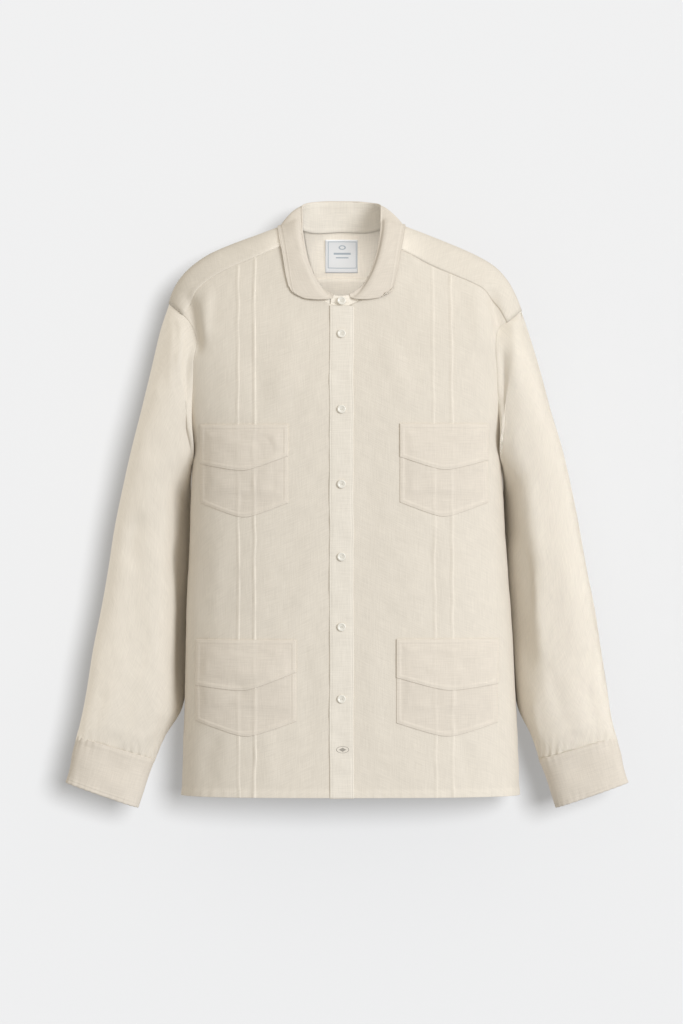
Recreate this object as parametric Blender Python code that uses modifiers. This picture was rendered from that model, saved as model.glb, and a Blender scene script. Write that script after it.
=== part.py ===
"""Guayabera shirt with long sleeves, filled out and hollow, with nobody in it.

The origin is the middle of the neck opening at the height of the back collar seam. +Z is up, the
front faces -Y, and +X is the wearer's left. Every size below is in millimetres. The body is one
form, made of a shoulder line, half widths and depths, and every cut piece of the body, and every
piece sewn on it, is a grid of points on that form.
"""
import bpy
import numpy as np

MM = 0.001
CLOTH = 1.2              # wall of one cut piece
DOUBLED = 1.6            # wall of a piece made of two layers pressed together
CUFF_WALL = 2.0          # two layers with an interlining between them
SEAM = 0.3               # gap between two pieces along a seam
LAYER = 0.4              # gap between a piece and what is sewn on it
BODY_CORNER = 2.6        # how square the body is in plan: 2 is an ellipse
SHOULDER_DROP = 130.0    # height over which the shoulder rounds from front to back
HEM = -756.0
UNDERARM = -300.0
PLACKET_HALF = 16.0


def table(columns, *rows):
    """Name the columns of a short table that has one row for each section."""
    names = columns.split()
    return {name: np.array([row[place] for row in rows], float) for place, name in enumerate(names)}


def smooth(places, values):
    """Return a curve through a table's points that never swings past them (harmonic slopes)."""
    order = np.argsort(places)
    place = np.asarray(places, float)[order]
    value = np.asarray(values, float)[order]
    gap = np.diff(place)
    rise = np.diff(value) / gap
    slope = np.zeros_like(value)
    product = rise[:-1] * rise[1:]
    total = np.where(product > 0, rise[:-1] + rise[1:], 1.0)
    slope[1:-1] = np.where(product > 0, 2.0 * product / total, 0.0)
    slope[0] = rise[0]
    slope[-1] = rise[-1]

    def curve(at):
        at = np.clip(at, place[0], place[-1])
        cell = np.clip(np.searchsorted(place, at) - 1, 0, len(gap) - 1)
        part = (at - place[cell]) / gap[cell]
        rest = 1.0 - part
        near = rest * rest * ((1.0 + 2.0 * part) * value[cell] + part * gap[cell] * slope[cell])
        far = part * part * ((1.0 + 2.0 * rest) * value[cell + 1] - rest * gap[cell] * slope[cell + 1])
        return near + far

    return curve


# The body form: half widths to the wearer's right and left of the buttons, and depths.
BODY = table(
    "height right left front back",
    (30, 236, 246, 60, 60),
    (-60, 236, 246, 63, 70),
    (-100, 236, 246, 68, 77),
    (-137, 229, 240, 75, 83),
    (-200, 219, 230, 86, 89),
    (-245, 213, 225, 91, 91),
    (UNDERARM, 200.5, 214.5, 94, 91),
    (-389, 202.2, 217.8, 95, 88),
    (-496, 207, 225.8, 95, 86),
    (-623, 209.8, 233.4, 96, 87),
    (HEM, 214.5, 238.7, 98, 90))
right_half = smooth(BODY["height"], BODY["right"])
left_half = smooth(BODY["height"], BODY["left"])
front_depth = smooth(BODY["height"], BODY["front"])
back_depth = smooth(BODY["height"], BODY["back"])

# The shoulder line from the wearer's right shoulder tip to the left one.
SHOULDER = table(
    "across height",
    (-231.2, -99.2), (-227.1, -85.8), (-216.4, -66.3), (-199, -48.2), (-176.5, -33), (-143.2, -18.5),
    (-110, -6.3), (-82.4, 4), (-60, 12), (0, 26), (60, 13), (88.8, 2.9), (137.4, -16.1),
    (182.9, -36.2), (205.7, -50.3), (223.1, -69.7), (234, -90), (241.2, -108.5))
shoulder_line = smooth(SHOULDER["across"], SHOULDER["height"])

# The armhole seam seen from the front, from the shoulder tip down to the underarm.
ARMHOLE_RIGHT = table(
    "height across",
    (-99.2, -231.2), (-111, -216.4), (-120.6, -206.4), (-137, -199), (-155, -195.8), (-187, -197),
    (-228, -199), (-264, -200), (UNDERARM, -200.5))
ARMHOLE_LEFT = table(
    "height across",
    (-108.5, 241.2), (-120, 227), (-132, 214), (-145, 207), (-160, 205), (-187, 206.5),
    (-228, 208.5), (-264, 212), (UNDERARM, 214.5))
BACK_ARMHOLE_SPREAD = 6.0    # the back is cut this much wider than the front between the armholes

# The seam between yoke and front, seen from the front, from the neck to the armhole.
YOKE_SEAM_RIGHT = table(
    "across height",
    (-59.5, -14.5), (-82, -24), (-118.6, -40), (-145, -51), (-170, -64), (-188.8, -78), (-203, -96),
    (-211.5, -115))
YOKE_SEAM_LEFT = table(
    "across height",
    (59.5, -19), (89, -33), (120, -50), (149.4, -62), (180, -75), (198, -86.5), (212, -103),
    (221.5, -125))
YOKE_BACK = 67.0             # drop of the back yoke seam at the centre
YOKE_BACK_SAG = 68.0         # how much further it has dropped
YOKE_BACK_HALF = 215.0       # at this distance from the centre, beside the armholes

# The neck seam, a squarish oval on the unrolled shoulder: half width, front and back reach.
NECK_HALF = 64.0
NECK_FRONT = 11.36           # root of the fall below the shoulder line
NECK_BACK = 5.1
NECK_CORNER = 2.5            # 2 is an ellipse

# Each front has two raised tucks, given at the yoke and at the hem.
TUCKS = table(
    "top bottom",
    (-138.5, -137), (-117, -115.5), (119.5, 124.5), (144, 147.5))
TUCK_HALF = 3.0
TUCK_RISE = 1.3


def armhole(side, height, face):
    """Where the armhole seam crosses a height: side -1 is the wearer's right, face +1 the back."""
    rows = ARMHOLE_RIGHT if side < 0 else ARMHOLE_LEFT
    across = smooth(rows["height"], rows["across"])(height)
    top = rows["height"][0]
    share = np.clip((top - height) / (top - UNDERARM), 0.0, 1.0)
    spread = BACK_ARMHOLE_SPREAD * np.sin(np.pi * share) if face > 0 else 0.0
    return across + side * spread


def on_body(across, fall):
    """Place points of the body form. fall is the root of the drop below the shoulder line,
    counted negative in front and positive behind."""
    height = shoulder_line(across) - fall * fall
    half = np.where(across < 0.0, right_half(height), left_half(height))
    reach = np.clip(np.abs(across) / half, 0.0, 1.0)
    around = (1.0 - reach ** BODY_CORNER) ** (1.0 / BODY_CORNER)
    drop = np.clip(fall * fall / SHOULDER_DROP, 0.0, 1.0)
    over = np.sqrt(1.0 - (1.0 - drop) ** 2)
    depth = np.where(fall < 0.0, -front_depth(height), back_depth(height))
    return np.stack([across, depth * around * over, height], axis=-1)


def fall_at(across, height, face):
    """The fall that on_body needs to reach a height, on the front (-1) or the back (+1)."""
    return face * np.sqrt(np.maximum(shoulder_line(across) - height, 0.0))


def body_outward(across, fall):
    """Unit vectors that point out of the body form."""
    step = 0.05
    inward = np.where(across > 0.0, -step, step)
    east = (on_body(across + inward, fall) - on_body(across, fall)) / inward[..., None]
    down = on_body(across, fall + step) - on_body(across, fall - step)
    outward = np.cross(east, down)
    return outward / np.linalg.norm(outward, axis=-1, keepdims=True)


def lifted(across, height, face, rise):
    """Points at a height on one face of the body form, moved out by a rise."""
    across, height = np.broadcast_arrays(np.asarray(across, float), np.asarray(height, float))
    fall = fall_at(across, height, face)
    return on_body(across, fall) + np.asarray(rise)[..., None] * body_outward(across, fall)


def kept_clear(points, clearance):
    """Move points out, square to the body form, until each stands off it by its clearance."""
    falls = np.linspace(-13.0, 9.0, 441)
    across = points[..., 0, None] + 0.0 * falls
    section = on_body(across, falls + 0.0 * across)
    nearest = np.argmin(np.linalg.norm(section - points[..., None, :], axis=-1), axis=-1)
    fall = falls[nearest]
    outward = body_outward(points[..., 0], fall)
    off = np.sum((points - on_body(points[..., 0], fall)) * outward, axis=-1)
    return points + np.maximum(clearance - off, 0.0)[..., None] * outward


def tuck_rise(across, height):
    """How far the raised tucks stand out of a front."""
    share = np.clip(height / HEM, 0.0, 1.0)
    rise = np.zeros(np.shape(across))
    for top, bottom in zip(TUCKS["top"], TUCKS["bottom"]):
        middle = top + (bottom - top) * share
        rise = np.maximum(rise, TUCK_RISE * (1.0 - np.abs(across - middle) / TUCK_HALF))
    return np.maximum(rise, 0.0)


def trimmed(grid, edges, gap=SEAM / 2):
    """Draw the named edges of a grid back by a gap, along the grid's own lines."""
    grid = grid.copy()
    ends = {"first_row": (0, 1, 0), "last_row": (-1, -2, 0), "first_column": (0, 1, 1),
            "last_column": (-1, -2, 1)}
    for edge in edges:
        end, inner, axis = ends[edge]
        line = np.take(grid, end, axis)
        away = np.take(grid, inner, axis) - line
        line = line + gap * away / np.linalg.norm(away, axis=-1, keepdims=True)
        place = (end, slice(None)) if axis == 0 else (slice(None), end)
        grid[place] = line
    return grid


def material(name, colour, roughness):
    made = bpy.data.materials.new(name)
    made.use_nodes = True
    shader = made.node_tree.nodes["Principled BSDF"]
    shader.inputs["Base Color"].default_value = (*colour, 1.0)
    shader.inputs["Roughness"].default_value = roughness
    shader.inputs["Metallic"].default_value = 0.0
    return made


def add(name, mesh, finish):
    piece = bpy.data.objects.new(name, mesh)
    piece.data.materials.append(finish)
    shirt.objects.link(piece)
    return piece


def cloth(name, grid, finish, wall=CLOTH, around=False, inside_out=False):
    """Make a cut piece from a grid of points in rows: a sheet whose wall goes inwards."""
    rows, columns = grid.shape[:2]
    number = np.arange(rows * columns).reshape(rows, columns)
    if around:
        number = np.concatenate([number, number[:, :1]], axis=1)
    faces = np.stack([number[:-1, :-1], number[1:, :-1], number[1:, 1:], number[:-1, 1:]], axis=-1)
    faces = faces.reshape(-1, 4)
    if inside_out:
        faces = faces[:, ::-1]
    mesh = bpy.data.meshes.new(name)
    mesh.from_pydata((grid.reshape(-1, 3) * MM).tolist(), [], faces.tolist())
    mesh.update()
    mesh.shade_smooth()
    piece = add(name, mesh, finish)
    shell = piece.modifiers.new("wall", "SOLIDIFY")
    shell.thickness = wall * MM
    shell.offset = -1.0
    shell.use_even_offset = True
    shell.use_quality_normals = True
    return piece


# ---- cut pieces of the body ----

FRONT_ROWS = table(          # heights where each row of a front ends at the middle and at the side
    "middle side",
    (0, 0), (-45, -140), (-72, -165), (-96, -195), (-135, -228), (-190, -258), (-246, -282),
    (UNDERARM, UNDERARM), (-365, -365), (-450, -450), (-540, -540), (-640, -640), (-745, -745),
    (HEM, HEM))
NECKLINE_ROWS = 4            # the first rows end on the neck seam, the others on the placket
TOP_FADE = 6                 # rows over which the yoke seam's curve fades out
SIDE_COLUMNS = np.array([0.30, 0.56, 0.76, 0.89, 0.965, 1.0])
FRONT_DIP = 2.0              # how the rows of a front bend down towards the side: 1 is straight
NECK_POINTS = 12             # points on the neck seam from which a row's end is read


def signed_power(value, power):
    """Raise the size of a value to a power and keep its sign."""
    return np.sign(value) * np.abs(value) ** power


def neck_point(turn):
    """The neck seam on the unrolled shoulder. Turn 0 is the wearer's left shoulder, 90 the back,
    180 the right shoulder and -90 or 270 the front."""
    across = signed_power(np.cos(np.radians(turn)), 2.0 / NECK_CORNER)
    fall = signed_power(np.sin(np.radians(turn)), 2.0 / NECK_CORNER)
    return NECK_HALF * across, np.where(fall > 0.0, NECK_BACK, NECK_FRONT) * fall


def front_neck_height(across):
    """Height of the neck seam on a front."""
    rest = np.maximum(1.0 - (across / NECK_HALF) ** NECK_CORNER, 0.0)
    fall = NECK_FRONT * rest ** (1.0 / NECK_CORNER)
    return shoulder_line(across) - fall * fall


def front_grid(side):
    """Rows of one front from the yoke seam to the hem, columns from the placket to the side."""
    seam = YOKE_SEAM_RIGHT if side < 0 else YOKE_SEAM_LEFT
    seam_height = smooth(seam["across"], seam["height"])
    tucks = [(t, b) for t, b in zip(TUCKS["top"], TUCKS["bottom"]) if t * side > 0]
    tucks.sort(key=lambda tuck: abs(tuck[0]))
    neck_across = np.linspace(PLACKET_HALF, abs(seam["across"][0]), NECK_POINTS)
    neck_across_at = smooth(front_neck_height(neck_across), neck_across)
    rows = []
    for number, (middle, outer) in enumerate(zip(FRONT_ROWS["middle"], FRONT_ROWS["side"])):
        if number == 0:
            inner_end = seam["across"][0]
            outer_end = seam["across"][-1]
            middle, outer = seam["height"][0], seam["height"][-1]
        else:
            inner_end = side * (neck_across_at(middle) if number < NECKLINE_ROWS else PLACKET_HALF)
            if outer > UNDERARM:
                outer_end = armhole(side, outer, -1)
            else:
                outer_end = -right_half(outer) if side < 0 else left_half(outer)
        share = np.clip(middle / HEM, 0.0, 1.0)
        lines = [top + (bottom - top) * share for top, bottom in tucks]
        across = [inner_end, 0.5 * (inner_end + lines[0] - side * TUCK_HALF)]
        for place, line in enumerate(lines):
            across += [line - side * TUCK_HALF, line, line + side * TUCK_HALF]
            if place == 0:
                across += [0.5 * (lines[0] + lines[1])]
        last = across[-1]
        across = np.array(across + list(last + (outer_end - last) * SIDE_COLUMNS))
        along = (across - inner_end) / (outer_end - inner_end)
        height = middle + (outer - middle) * along ** FRONT_DIP
        fade = max(0.0, 1.0 - number / TOP_FADE)
        straight = seam["height"][0] + (seam["height"][-1] - seam["height"][0]) * along ** FRONT_DIP
        across_seam = seam["across"][0] + (seam["across"][-1] - seam["across"][0]) * along
        height = height + fade * fade * (seam_height(across_seam) - straight)
        rows.append(lifted(across, height, -1, tuck_rise(across, height)))
    grid = np.array(rows)
    grid[0, ::2] = lifted(grid[0, ::2, 0], seam_height(grid[0, ::2, 0]), -1, np.zeros(8))
    grid[0, 1::2] = 0.5 * (grid[0, :-1:2] + grid[0, 2::2])
    return grid


BACK_DIP = 2.2               # how the rows of the back, and its top seam, bend down to the sides


def back_seam_height(across):
    """Height of the back yoke seam."""
    return -YOKE_BACK - YOKE_BACK_SAG * (np.abs(across) / YOKE_BACK_HALF) ** BACK_DIP


BACK_ROWS = table(
    "middle side",
    (-YOKE_BACK, 0), (-110, -165), (-160, -200), (-210, -240), (-258, -275), (UNDERARM, UNDERARM),
    (-365, -365), (-450, -450), (-540, -540), (-640, -640), (-745, -745), (HEM, HEM))
BACK_COLUMNS = 18


CORNER_SEARCH = np.linspace(-105.0, -170.0, 400)    # heights between which that seam ends


def back_corner(side):
    """Where the back yoke seam meets the armhole, as across and height."""
    heights = CORNER_SEARCH
    across = armhole(side, heights, 1)
    nearest = np.argmin(np.abs(back_seam_height(across) - heights))
    return across[nearest], heights[nearest]


def back_spacing():
    """Places of the back's columns, from 1 at the wearer's left side to -1 at the right."""
    turn = np.linspace(np.pi / 2, -np.pi / 2, BACK_COLUMNS + 1)
    return signed_power(np.sin(turn), 2.0 / BODY_CORNER)


def back_grid():
    """Rows of the back from the yoke seam to the hem, columns from the wearer's left to right."""
    spacing = back_spacing()
    rows = []
    for number, (middle, outer) in enumerate(zip(BACK_ROWS["middle"], BACK_ROWS["side"])):
        ends = {}
        for side in (-1, 1):
            if number == 0:
                ends[side] = back_corner(side)
            elif outer > UNDERARM:
                ends[side] = (armhole(side, outer, 1), outer)
            else:
                ends[side] = (-right_half(outer) if side < 0 else left_half(outer), outer)
        across = np.where(spacing > 0, spacing * ends[1][0], -spacing * ends[-1][0])
        side_height = np.where(spacing > 0, ends[1][1], ends[-1][1])
        height = middle + (side_height - middle) * np.abs(spacing) ** BACK_DIP
        if number == 0:
            height = np.where(np.abs(spacing) < 1.0, back_seam_height(across), height)
        rows.append(lifted(across, height, 1, np.zeros(len(across))))
    return np.array(rows)


# Turns on the neck seam where the yoke's columns start, in front of and behind the shoulder tip.
YOKE_FRONT_TURNS = np.array([-24.0, -13.0, -2.0, 8.0])
YOKE_BACK_TURNS = np.linspace(16.0, 90.0, BACK_COLUMNS // 2 + 1)


def yoke_half(side, seam_across):
    """Half of the yoke on the unrolled shoulder: rows from the neck out, columns from the front
    seam over the shoulder tip to the middle of the back. The rows meet the front's own columns."""
    seam = YOKE_SEAM_RIGHT if side < 0 else YOKE_SEAM_LEFT
    rows = ARMHOLE_RIGHT if side < 0 else ARMHOLE_LEFT
    tip = rows["height"][0]
    corner_across, corner_height = back_corner(side)
    front_height = 0.5 * (tip + seam["height"][-1])
    back_height = 0.5 * (tip + corner_height)
    outer = [(seam["across"][-1], seam["height"][-1], -1),
             (armhole(side, front_height, -1), front_height, -1),
             (rows["across"][0], tip, 1),
             (armhole(side, back_height, 1), back_height, 1)]
    for share in back_spacing()[:BACK_COLUMNS // 2 + 1]:
        outer.append((corner_across * share, back_seam_height(corner_across * share), 1))
    outer = np.array([(across, fall_at(across, height, face)) for across, height, face in outer])
    neck_across, neck_fall = neck_point(np.concatenate([YOKE_FRONT_TURNS, YOKE_BACK_TURNS]))
    inner = np.stack([side * neck_across, neck_fall], axis=-1)
    share = (seam_across - seam_across[0]) / (seam_across[-1] - seam_across[0])
    grid = inner[None] + (outer - inner)[None] * share[:, None, None]
    seam_height = smooth(seam["across"], seam["height"])
    grid[:, 0, 0] = seam_across
    grid[:, 0, 1] = fall_at(seam_across, seam_height(seam_across), -1)
    return grid


def yoke_grid(front_grids):
    """The whole yoke, over both shoulders, its columns from the left front seam to the right one."""
    left = yoke_half(1, front_grids[1][0, ::2, 0])
    right = yoke_half(-1, front_grids[-1][0, ::2, 0])
    chart = np.concatenate([left, right[:, -2::-1]], axis=1)
    return on_body(chart[..., 0], chart[..., 1])


# ---- sleeves and cuffs ----

# Each row is a ring: heights of its outer and inner ends, half depth, how far back its middle is, how
# far its middle bows towards the body, and how far its inner end is pushed back beside the body.
SLEEVE = table(
    "outer_height outer_right outer_left inner_height inner_right inner_left half_depth back bow tuck",
    (-134, -242.5, 249.5, -312, -203.2, 217.6, 63, 2, 15, 0),
    (-187, -255.3, 266, -328, -204.2, 218.8, 68, 5, 9, 4),
    (-241, -268.7, 280.7, -346, -205.2, 220.2, 71, 9, 3, 8),
    (-295, -282, 296.5, -370, -206.2, 221.6, 70, 12, 0, 13),
    (-348, -294, 308.9, -402, -207.2, 223.2, 67, 14, 0, 18),
    (-402, -304.9, 319.6, -440, -208.6, 225.4, 63, 14, 0, 22),
    (-455, -312.9, 329, -482, -210.4, 228.4, 59, 12, 0, 26),
    (-509, -322.3, 339.7, -532, -212.2, 232.2, 55, 8, 0, 26),
    (-563, -333, 347.7, -585, -213.4, 235.4, 50, 3, 0, 24),
    (-616, -341, 355.8, -638, -215.5, 238, 44, -3, 0, 16),
    (-650, -347.2, 360.4, -678, -236, 254.5, 36, -7, 0, 6),
    (-678, -353.6, 366.8, -708.5, -250.6, 265.2, 28, -10, 0, 0))
SLEEVE_CORNERS = 22
ARMHOLE_GAP = 3.4            # the sleeve turns away sharply from the body at this seam
CUFF_ROWS = table(
    "outer_height outer_right outer_left inner_height inner_right inner_left half_depth back",
    (-679.6, -354.2, 367.4, -710.6, -251.6, 265.8, 26.5, -10),
    (-710, -361.6, 375.6, -742, -261.4, 276.4, 25, -11.5),
    (-739.3, -368.8, 383.5, -773.2, -271.9, 286.6, 24, -13))
RING_CORNER = 2.25
BESIDE = 2.4                 # least gap between a sleeve and the side of the body


def beside_body(points, side):
    """Move points of a sleeve out sideways until they are clear of the side of the body form."""
    height = points[..., 2]
    half = right_half(height) if side < 0 else left_half(height)
    half = np.where(height > UNDERARM, np.abs(armhole(side, height, 1)), half)
    depth = np.where(points[..., 1] < 0.0, front_depth(height), back_depth(height))
    part = np.clip(np.abs(points[..., 1]) / depth, 0.0, 1.0)
    least = half * (1.0 - part ** BODY_CORNER) ** (1.0 / BODY_CORNER) + BESIDE
    points = points.copy()
    points[..., 0] = side * np.maximum(side * points[..., 0], least)
    return points


def ring(side, row, turns):
    """A sleeve ring: turn 0 is its outer end, 90 its front and 180 the end next to the body."""
    name = "right" if side < 0 else "left"
    outer = np.array([row["outer_" + name], 0.0, row["outer_height"]])
    inner = np.array([row["inner_" + name], 0.0, row["inner_height"]])
    cosine = signed_power(np.cos(turns), 2.0 / RING_CORNER)
    sine = signed_power(np.sin(turns), 2.0 / RING_CORNER)
    points = 0.5 * (outer + inner) + 0.5 * (outer - inner) * cosine[:, None]
    points[:, 1] += row["back"] - row["half_depth"] * sine
    points[:, 0] -= side * row.get("bow", 0.0) * np.abs(sine)
    points[:, 1] += row.get("tuck", 0.0) * np.maximum(-cosine, 0.0) ** 3.5
    return beside_body(points, side) if row.get("tuck", 0.0) > 0.0 else points


def armhole_ring(side, turns):
    """The armhole seam itself, at the same turns as the sleeve's rings."""
    rows = ARMHOLE_RIGHT if side < 0 else ARMHOLE_LEFT
    top = rows["height"][0]
    height = 0.5 * (top + UNDERARM) + 0.5 * (top - UNDERARM) * np.cos(turns)
    points = np.zeros((len(turns), 3))
    for face in (-1, 1):
        chosen = (np.sin(turns) > 1e-6) if face < 0 else (np.sin(turns) <= 1e-6)
        across = armhole(side, height[chosen], face)
        points[chosen] = on_body(across, fall_at(across, height[chosen], face))
    return points


def rows_of(rows):
    """Take a table apart into its rows."""
    return [dict(zip(rows, values)) for values in zip(*rows.values())]


def sleeve_grid(side):
    """Rings from the armhole seam to the cuff seam."""
    turns = np.linspace(0.0, 2.0 * np.pi, SLEEVE_CORNERS, endpoint=False)
    rings = [armhole_ring(side, turns)] + [ring(side, row, turns) for row in rows_of(SLEEVE)]
    return trimmed(np.array(rings), ["first_row"], ARMHOLE_GAP)


def cuff_grid(side):
    """The cuff, a band whose two ends meet behind the wrist."""
    opening = 1.5 * np.pi
    turns = np.linspace(opening, opening + 2.0 * np.pi, SLEEVE_CORNERS + 1)
    rings = [ring(side, row, turns) for row in rows_of(CUFF_ROWS)]
    return trimmed(np.array(rings), ["first_column", "last_column"], SEAM)


# ---- collar ----

FOLD_HALF = 53.0             # half width of the collar's fold line
FOLD_SIDE = 30.0             # its height beside the neck
FOLD_BACK = 39.0             # its height behind the neck
FOLD_FRONT = -91.0           # its height at the front
FOLD_FRONT_REACH = 66.0
FOLD_BACK_REACH = 34.0
FOLD_SQUARE = 0.62           # how square the fold is behind the neck: 1 is an ellipse
FOLD_FRONT_SQUARE = 0.85     # and in front of it
FOLD_CLIMB = 0.8             # how early it climbs from the sides to the back
STAND_FOOT = table(          # the turn on the neck seam that lies under a turn on the fold
    "fold seam",
    (-108, -104), (-90, -90), (-70, -73), (-45, -40), (-20, -13), (0, 2), (25, 22), (50, 47), (90, 90))
STAND_BOW = 0.2              # how far the stand curves out between seam and fold
STAND_INSIDE = 2.2           # the stand's foot is this far inside the neck seam
STAND_ROWS = 4
LEAF_EDGE = table(           # the leaf's outer edge on the unrolled shoulder, from front to back
    "turn across fall",
    (-90, 60, -10.0), (-78, 66.5, -9.45), (-60, 73.5, -8.0), (-38, 79, -5.9), (-18, 83, -3.6), (0, 84.5, -1.2),
    (14, 83, 0.9), (32, 72, 3.3), (55, 49, 5.2), (75, 22, 5.9), (90, 0, 6.0))
LEAF_ROWS = table(           # share of the way from fold to edge, and least rise off the body form
    "share clearance",
    (0, -2.5), (0.12, 2.2), (0.3, 4), (0.55, 4), (0.8, 3.6), (1, 3.4))
LEAF_RISE = 9.0              # how far the leaf's roll stands above a straight line to its edge
LEAF_SPREAD = 6.0            # and how far it stands out
LEAF_KNEE = 0.35             # the roll turns down at this share of the way to the edge
LEAF_FULL_ROLL = 45.0        # a leaf shorter than this rolls less
FOLD_ROLL = 1.2              # the leaf starts this far outside the stand
LEAF_MARGIN = 3.0            # degrees by which the low part of the stand reaches past the leaf
FOLD_GAP = 5.0               # the stand ends this far below the fold
STAND_TURNS = np.array([-102, -90, -78, -64, -50, -36, -22, -8, 6, 20, 36, 54, 72, 90,
                        108, 126, 144, 160, 174, 188, 202, 216, 230, 244, 257.4])
LEAF_TURNS = np.array([-81, -70, -58, -46, -34, -22, -10, 2, 14, 30, 50, 70, 90,
                       110, 130, 150, 166, 178, 190, 202, 214, 226, 238, 250, 261])


def near_side(turn):
    """Turns of the wearer's right half, given as the turns of the left half they mirror."""
    return np.where(turn > 90.0, 180.0 - turn, turn)


def fold_point(turn):
    """The fold line between stand and leaf, round the neck as in neck_point."""
    cosine = np.cos(np.radians(turn))
    sine = np.sin(np.radians(turn))
    front = sine < 0.0
    across = FOLD_HALF * np.where(front, signed_power(cosine, FOLD_FRONT_SQUARE),
                                  signed_power(cosine, FOLD_SQUARE))
    depth = np.where(front, FOLD_FRONT_REACH, FOLD_BACK_REACH) * sine
    height = np.where(front, FOLD_SIDE + (FOLD_SIDE - FOLD_FRONT) * sine,
                      FOLD_SIDE + (FOLD_BACK - FOLD_SIDE) * np.abs(sine) ** FOLD_CLIMB)
    return np.stack([across, depth, height], axis=-1)


def stand_grid():
    """The collar stand from the neck seam up to the fold, its ends lapped on the wearer's right."""
    foot = smooth(STAND_FOOT["fold"], STAND_FOOT["seam"])(near_side(STAND_TURNS))
    foot = np.where(STAND_TURNS > 90.0, 180.0 - foot, foot)
    across, fall = neck_point(foot)
    seam = on_body(across, fall)
    fold = fold_point(STAND_TURNS)
    inward = -np.stack([np.cos(np.radians(foot)), np.sin(np.radians(foot)), 0.0 * foot], axis=-1)
    seam = seam + STAND_INSIDE * inward
    rise = fold - seam
    height = np.linalg.norm(rise, axis=-1, keepdims=True)
    under_leaf = near_side(STAND_TURNS)[:, None] > LEAF_TURNS[0] - LEAF_MARGIN
    rise = rise * (1.0 - np.where(under_leaf, FOLD_GAP, LAYER) / height)
    share = np.linspace(0.0, 1.0, STAND_ROWS)[:, None, None]
    return seam + rise * share - STAND_BOW * np.sin(np.pi * share) * inward


def leaf_grid():
    """The collar leaf, rolled from the fold out and down to its edge."""
    turn = near_side(LEAF_TURNS)
    side = np.where(LEAF_TURNS > 90.0, -1.0, 1.0)
    across = side * smooth(LEAF_EDGE["turn"], LEAF_EDGE["across"])(turn)
    fall = smooth(LEAF_EDGE["turn"], LEAF_EDGE["fall"])(turn)
    edge = on_body(across, fall)
    spread = np.stack([np.cos(np.radians(LEAF_TURNS)), np.sin(np.radians(LEAF_TURNS)),
                       0.0 * LEAF_TURNS], axis=-1)
    fold = fold_point(LEAF_TURNS) + FOLD_ROLL * spread
    away = edge - fold
    reach = np.linalg.norm(away, axis=-1, keepdims=True)
    lift = LEAF_SPREAD * spread + np.array([0.0, 0.0, LEAF_RISE])
    knee = fold + LEAF_KNEE * away + lift * np.clip(reach / LEAF_FULL_ROLL, 0.0, 1.0)
    share = LEAF_ROWS["share"][:, None, None]
    leaf = (1 - share) ** 2 * fold + 2 * share * (1 - share) * knee + share ** 2 * edge
    return kept_clear(leaf, LEAF_ROWS["clearance"][:, None])


# ---- pieces sewn on the fronts ----

POCKETS = table(             # top corners, straight side ends and centre point, on the front itself
    "right left top corner point flap_side flap_point",
    (-187.5, -70.5, -262, -366, -383, -311, -320),
    (77, 195, -261, -365, -383, -303, -319),
    (-194, -60, -545, -651, -669, -604, -611),
    (72.5, 209, -546, -652, -669, -592, -607))
POCKET_NAMES = ("chest_right", "chest_left", "hip_right", "hip_left")
POCKET_RISE = CLOTH + 0.9     # clear of the flat faces between the front's own points
FLAP_RISE = POCKET_RISE + CLOTH + 0.7
POCKET_COLUMNS = 9
POCKET_ROWS = 6
FLAP_ROWS = 3
TUCK_CLEAR = 6.0             # a patch has no column of its own nearer than this to a tuck's lines
PATCH_MARGIN = 4.0           # and a tuck this near a patch's edge is left out
BUTTONS = (-98, -142, -242, -341, -437, -530, -625)
BUTTON_WIDTH = 11.4
BUTTON_THICK = 2.2
BUTTON_RIM = 0.5
CUFF_BUTTON_ROW = 1
CUFF_BUTTON_COLUMN = 1
BACKWARD = np.array([0.0, 1.0, 0.0])
PLACKET_TOP = -104.5
PLACKET_RISE = 0.6
PLACKET_ROWS = 18
BUTTON_STAND_RISE = -1.6     # the button stand lies behind the placket
LABEL_HALF = 22.0
LABEL_TOP = -10.0
LABEL_SINK = CLOTH + 1.4
LABEL_WALL = 1.0


def patch_grid(right, left, top, low_side, low_point, rise, rows):
    """A patch whose lower edge is a shallow point, on the front with its tucks."""
    tuck_lines = [edge for top_line, bottom_line in zip(TUCKS["top"], TUCKS["bottom"])
                  for edge in (top_line + (bottom_line - top_line) * top / HEM + np.array(
                      [-TUCK_HALF, 0.0, TUCK_HALF]))]
    inside = [line for line in tuck_lines if right + PATCH_MARGIN < line < left - PATCH_MARGIN]
    plain = [line for line in np.linspace(right, left, POCKET_COLUMNS)
             if all(abs(line - other) > TUCK_CLEAR for other in inside)]
    across = np.array(sorted(inside + plain))
    middle = 0.5 * (right + left)
    low = low_side + (low_point - low_side) * (1.0 - np.abs(across - middle) / (0.5 * (left - right)))
    share = np.linspace(0.0, 1.0, rows)[:, None]
    height = top + (low[None] - top) * share
    across = np.broadcast_to(across, height.shape)
    return lifted(across, height, -1, tuck_rise(across, height) + rise)


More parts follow.
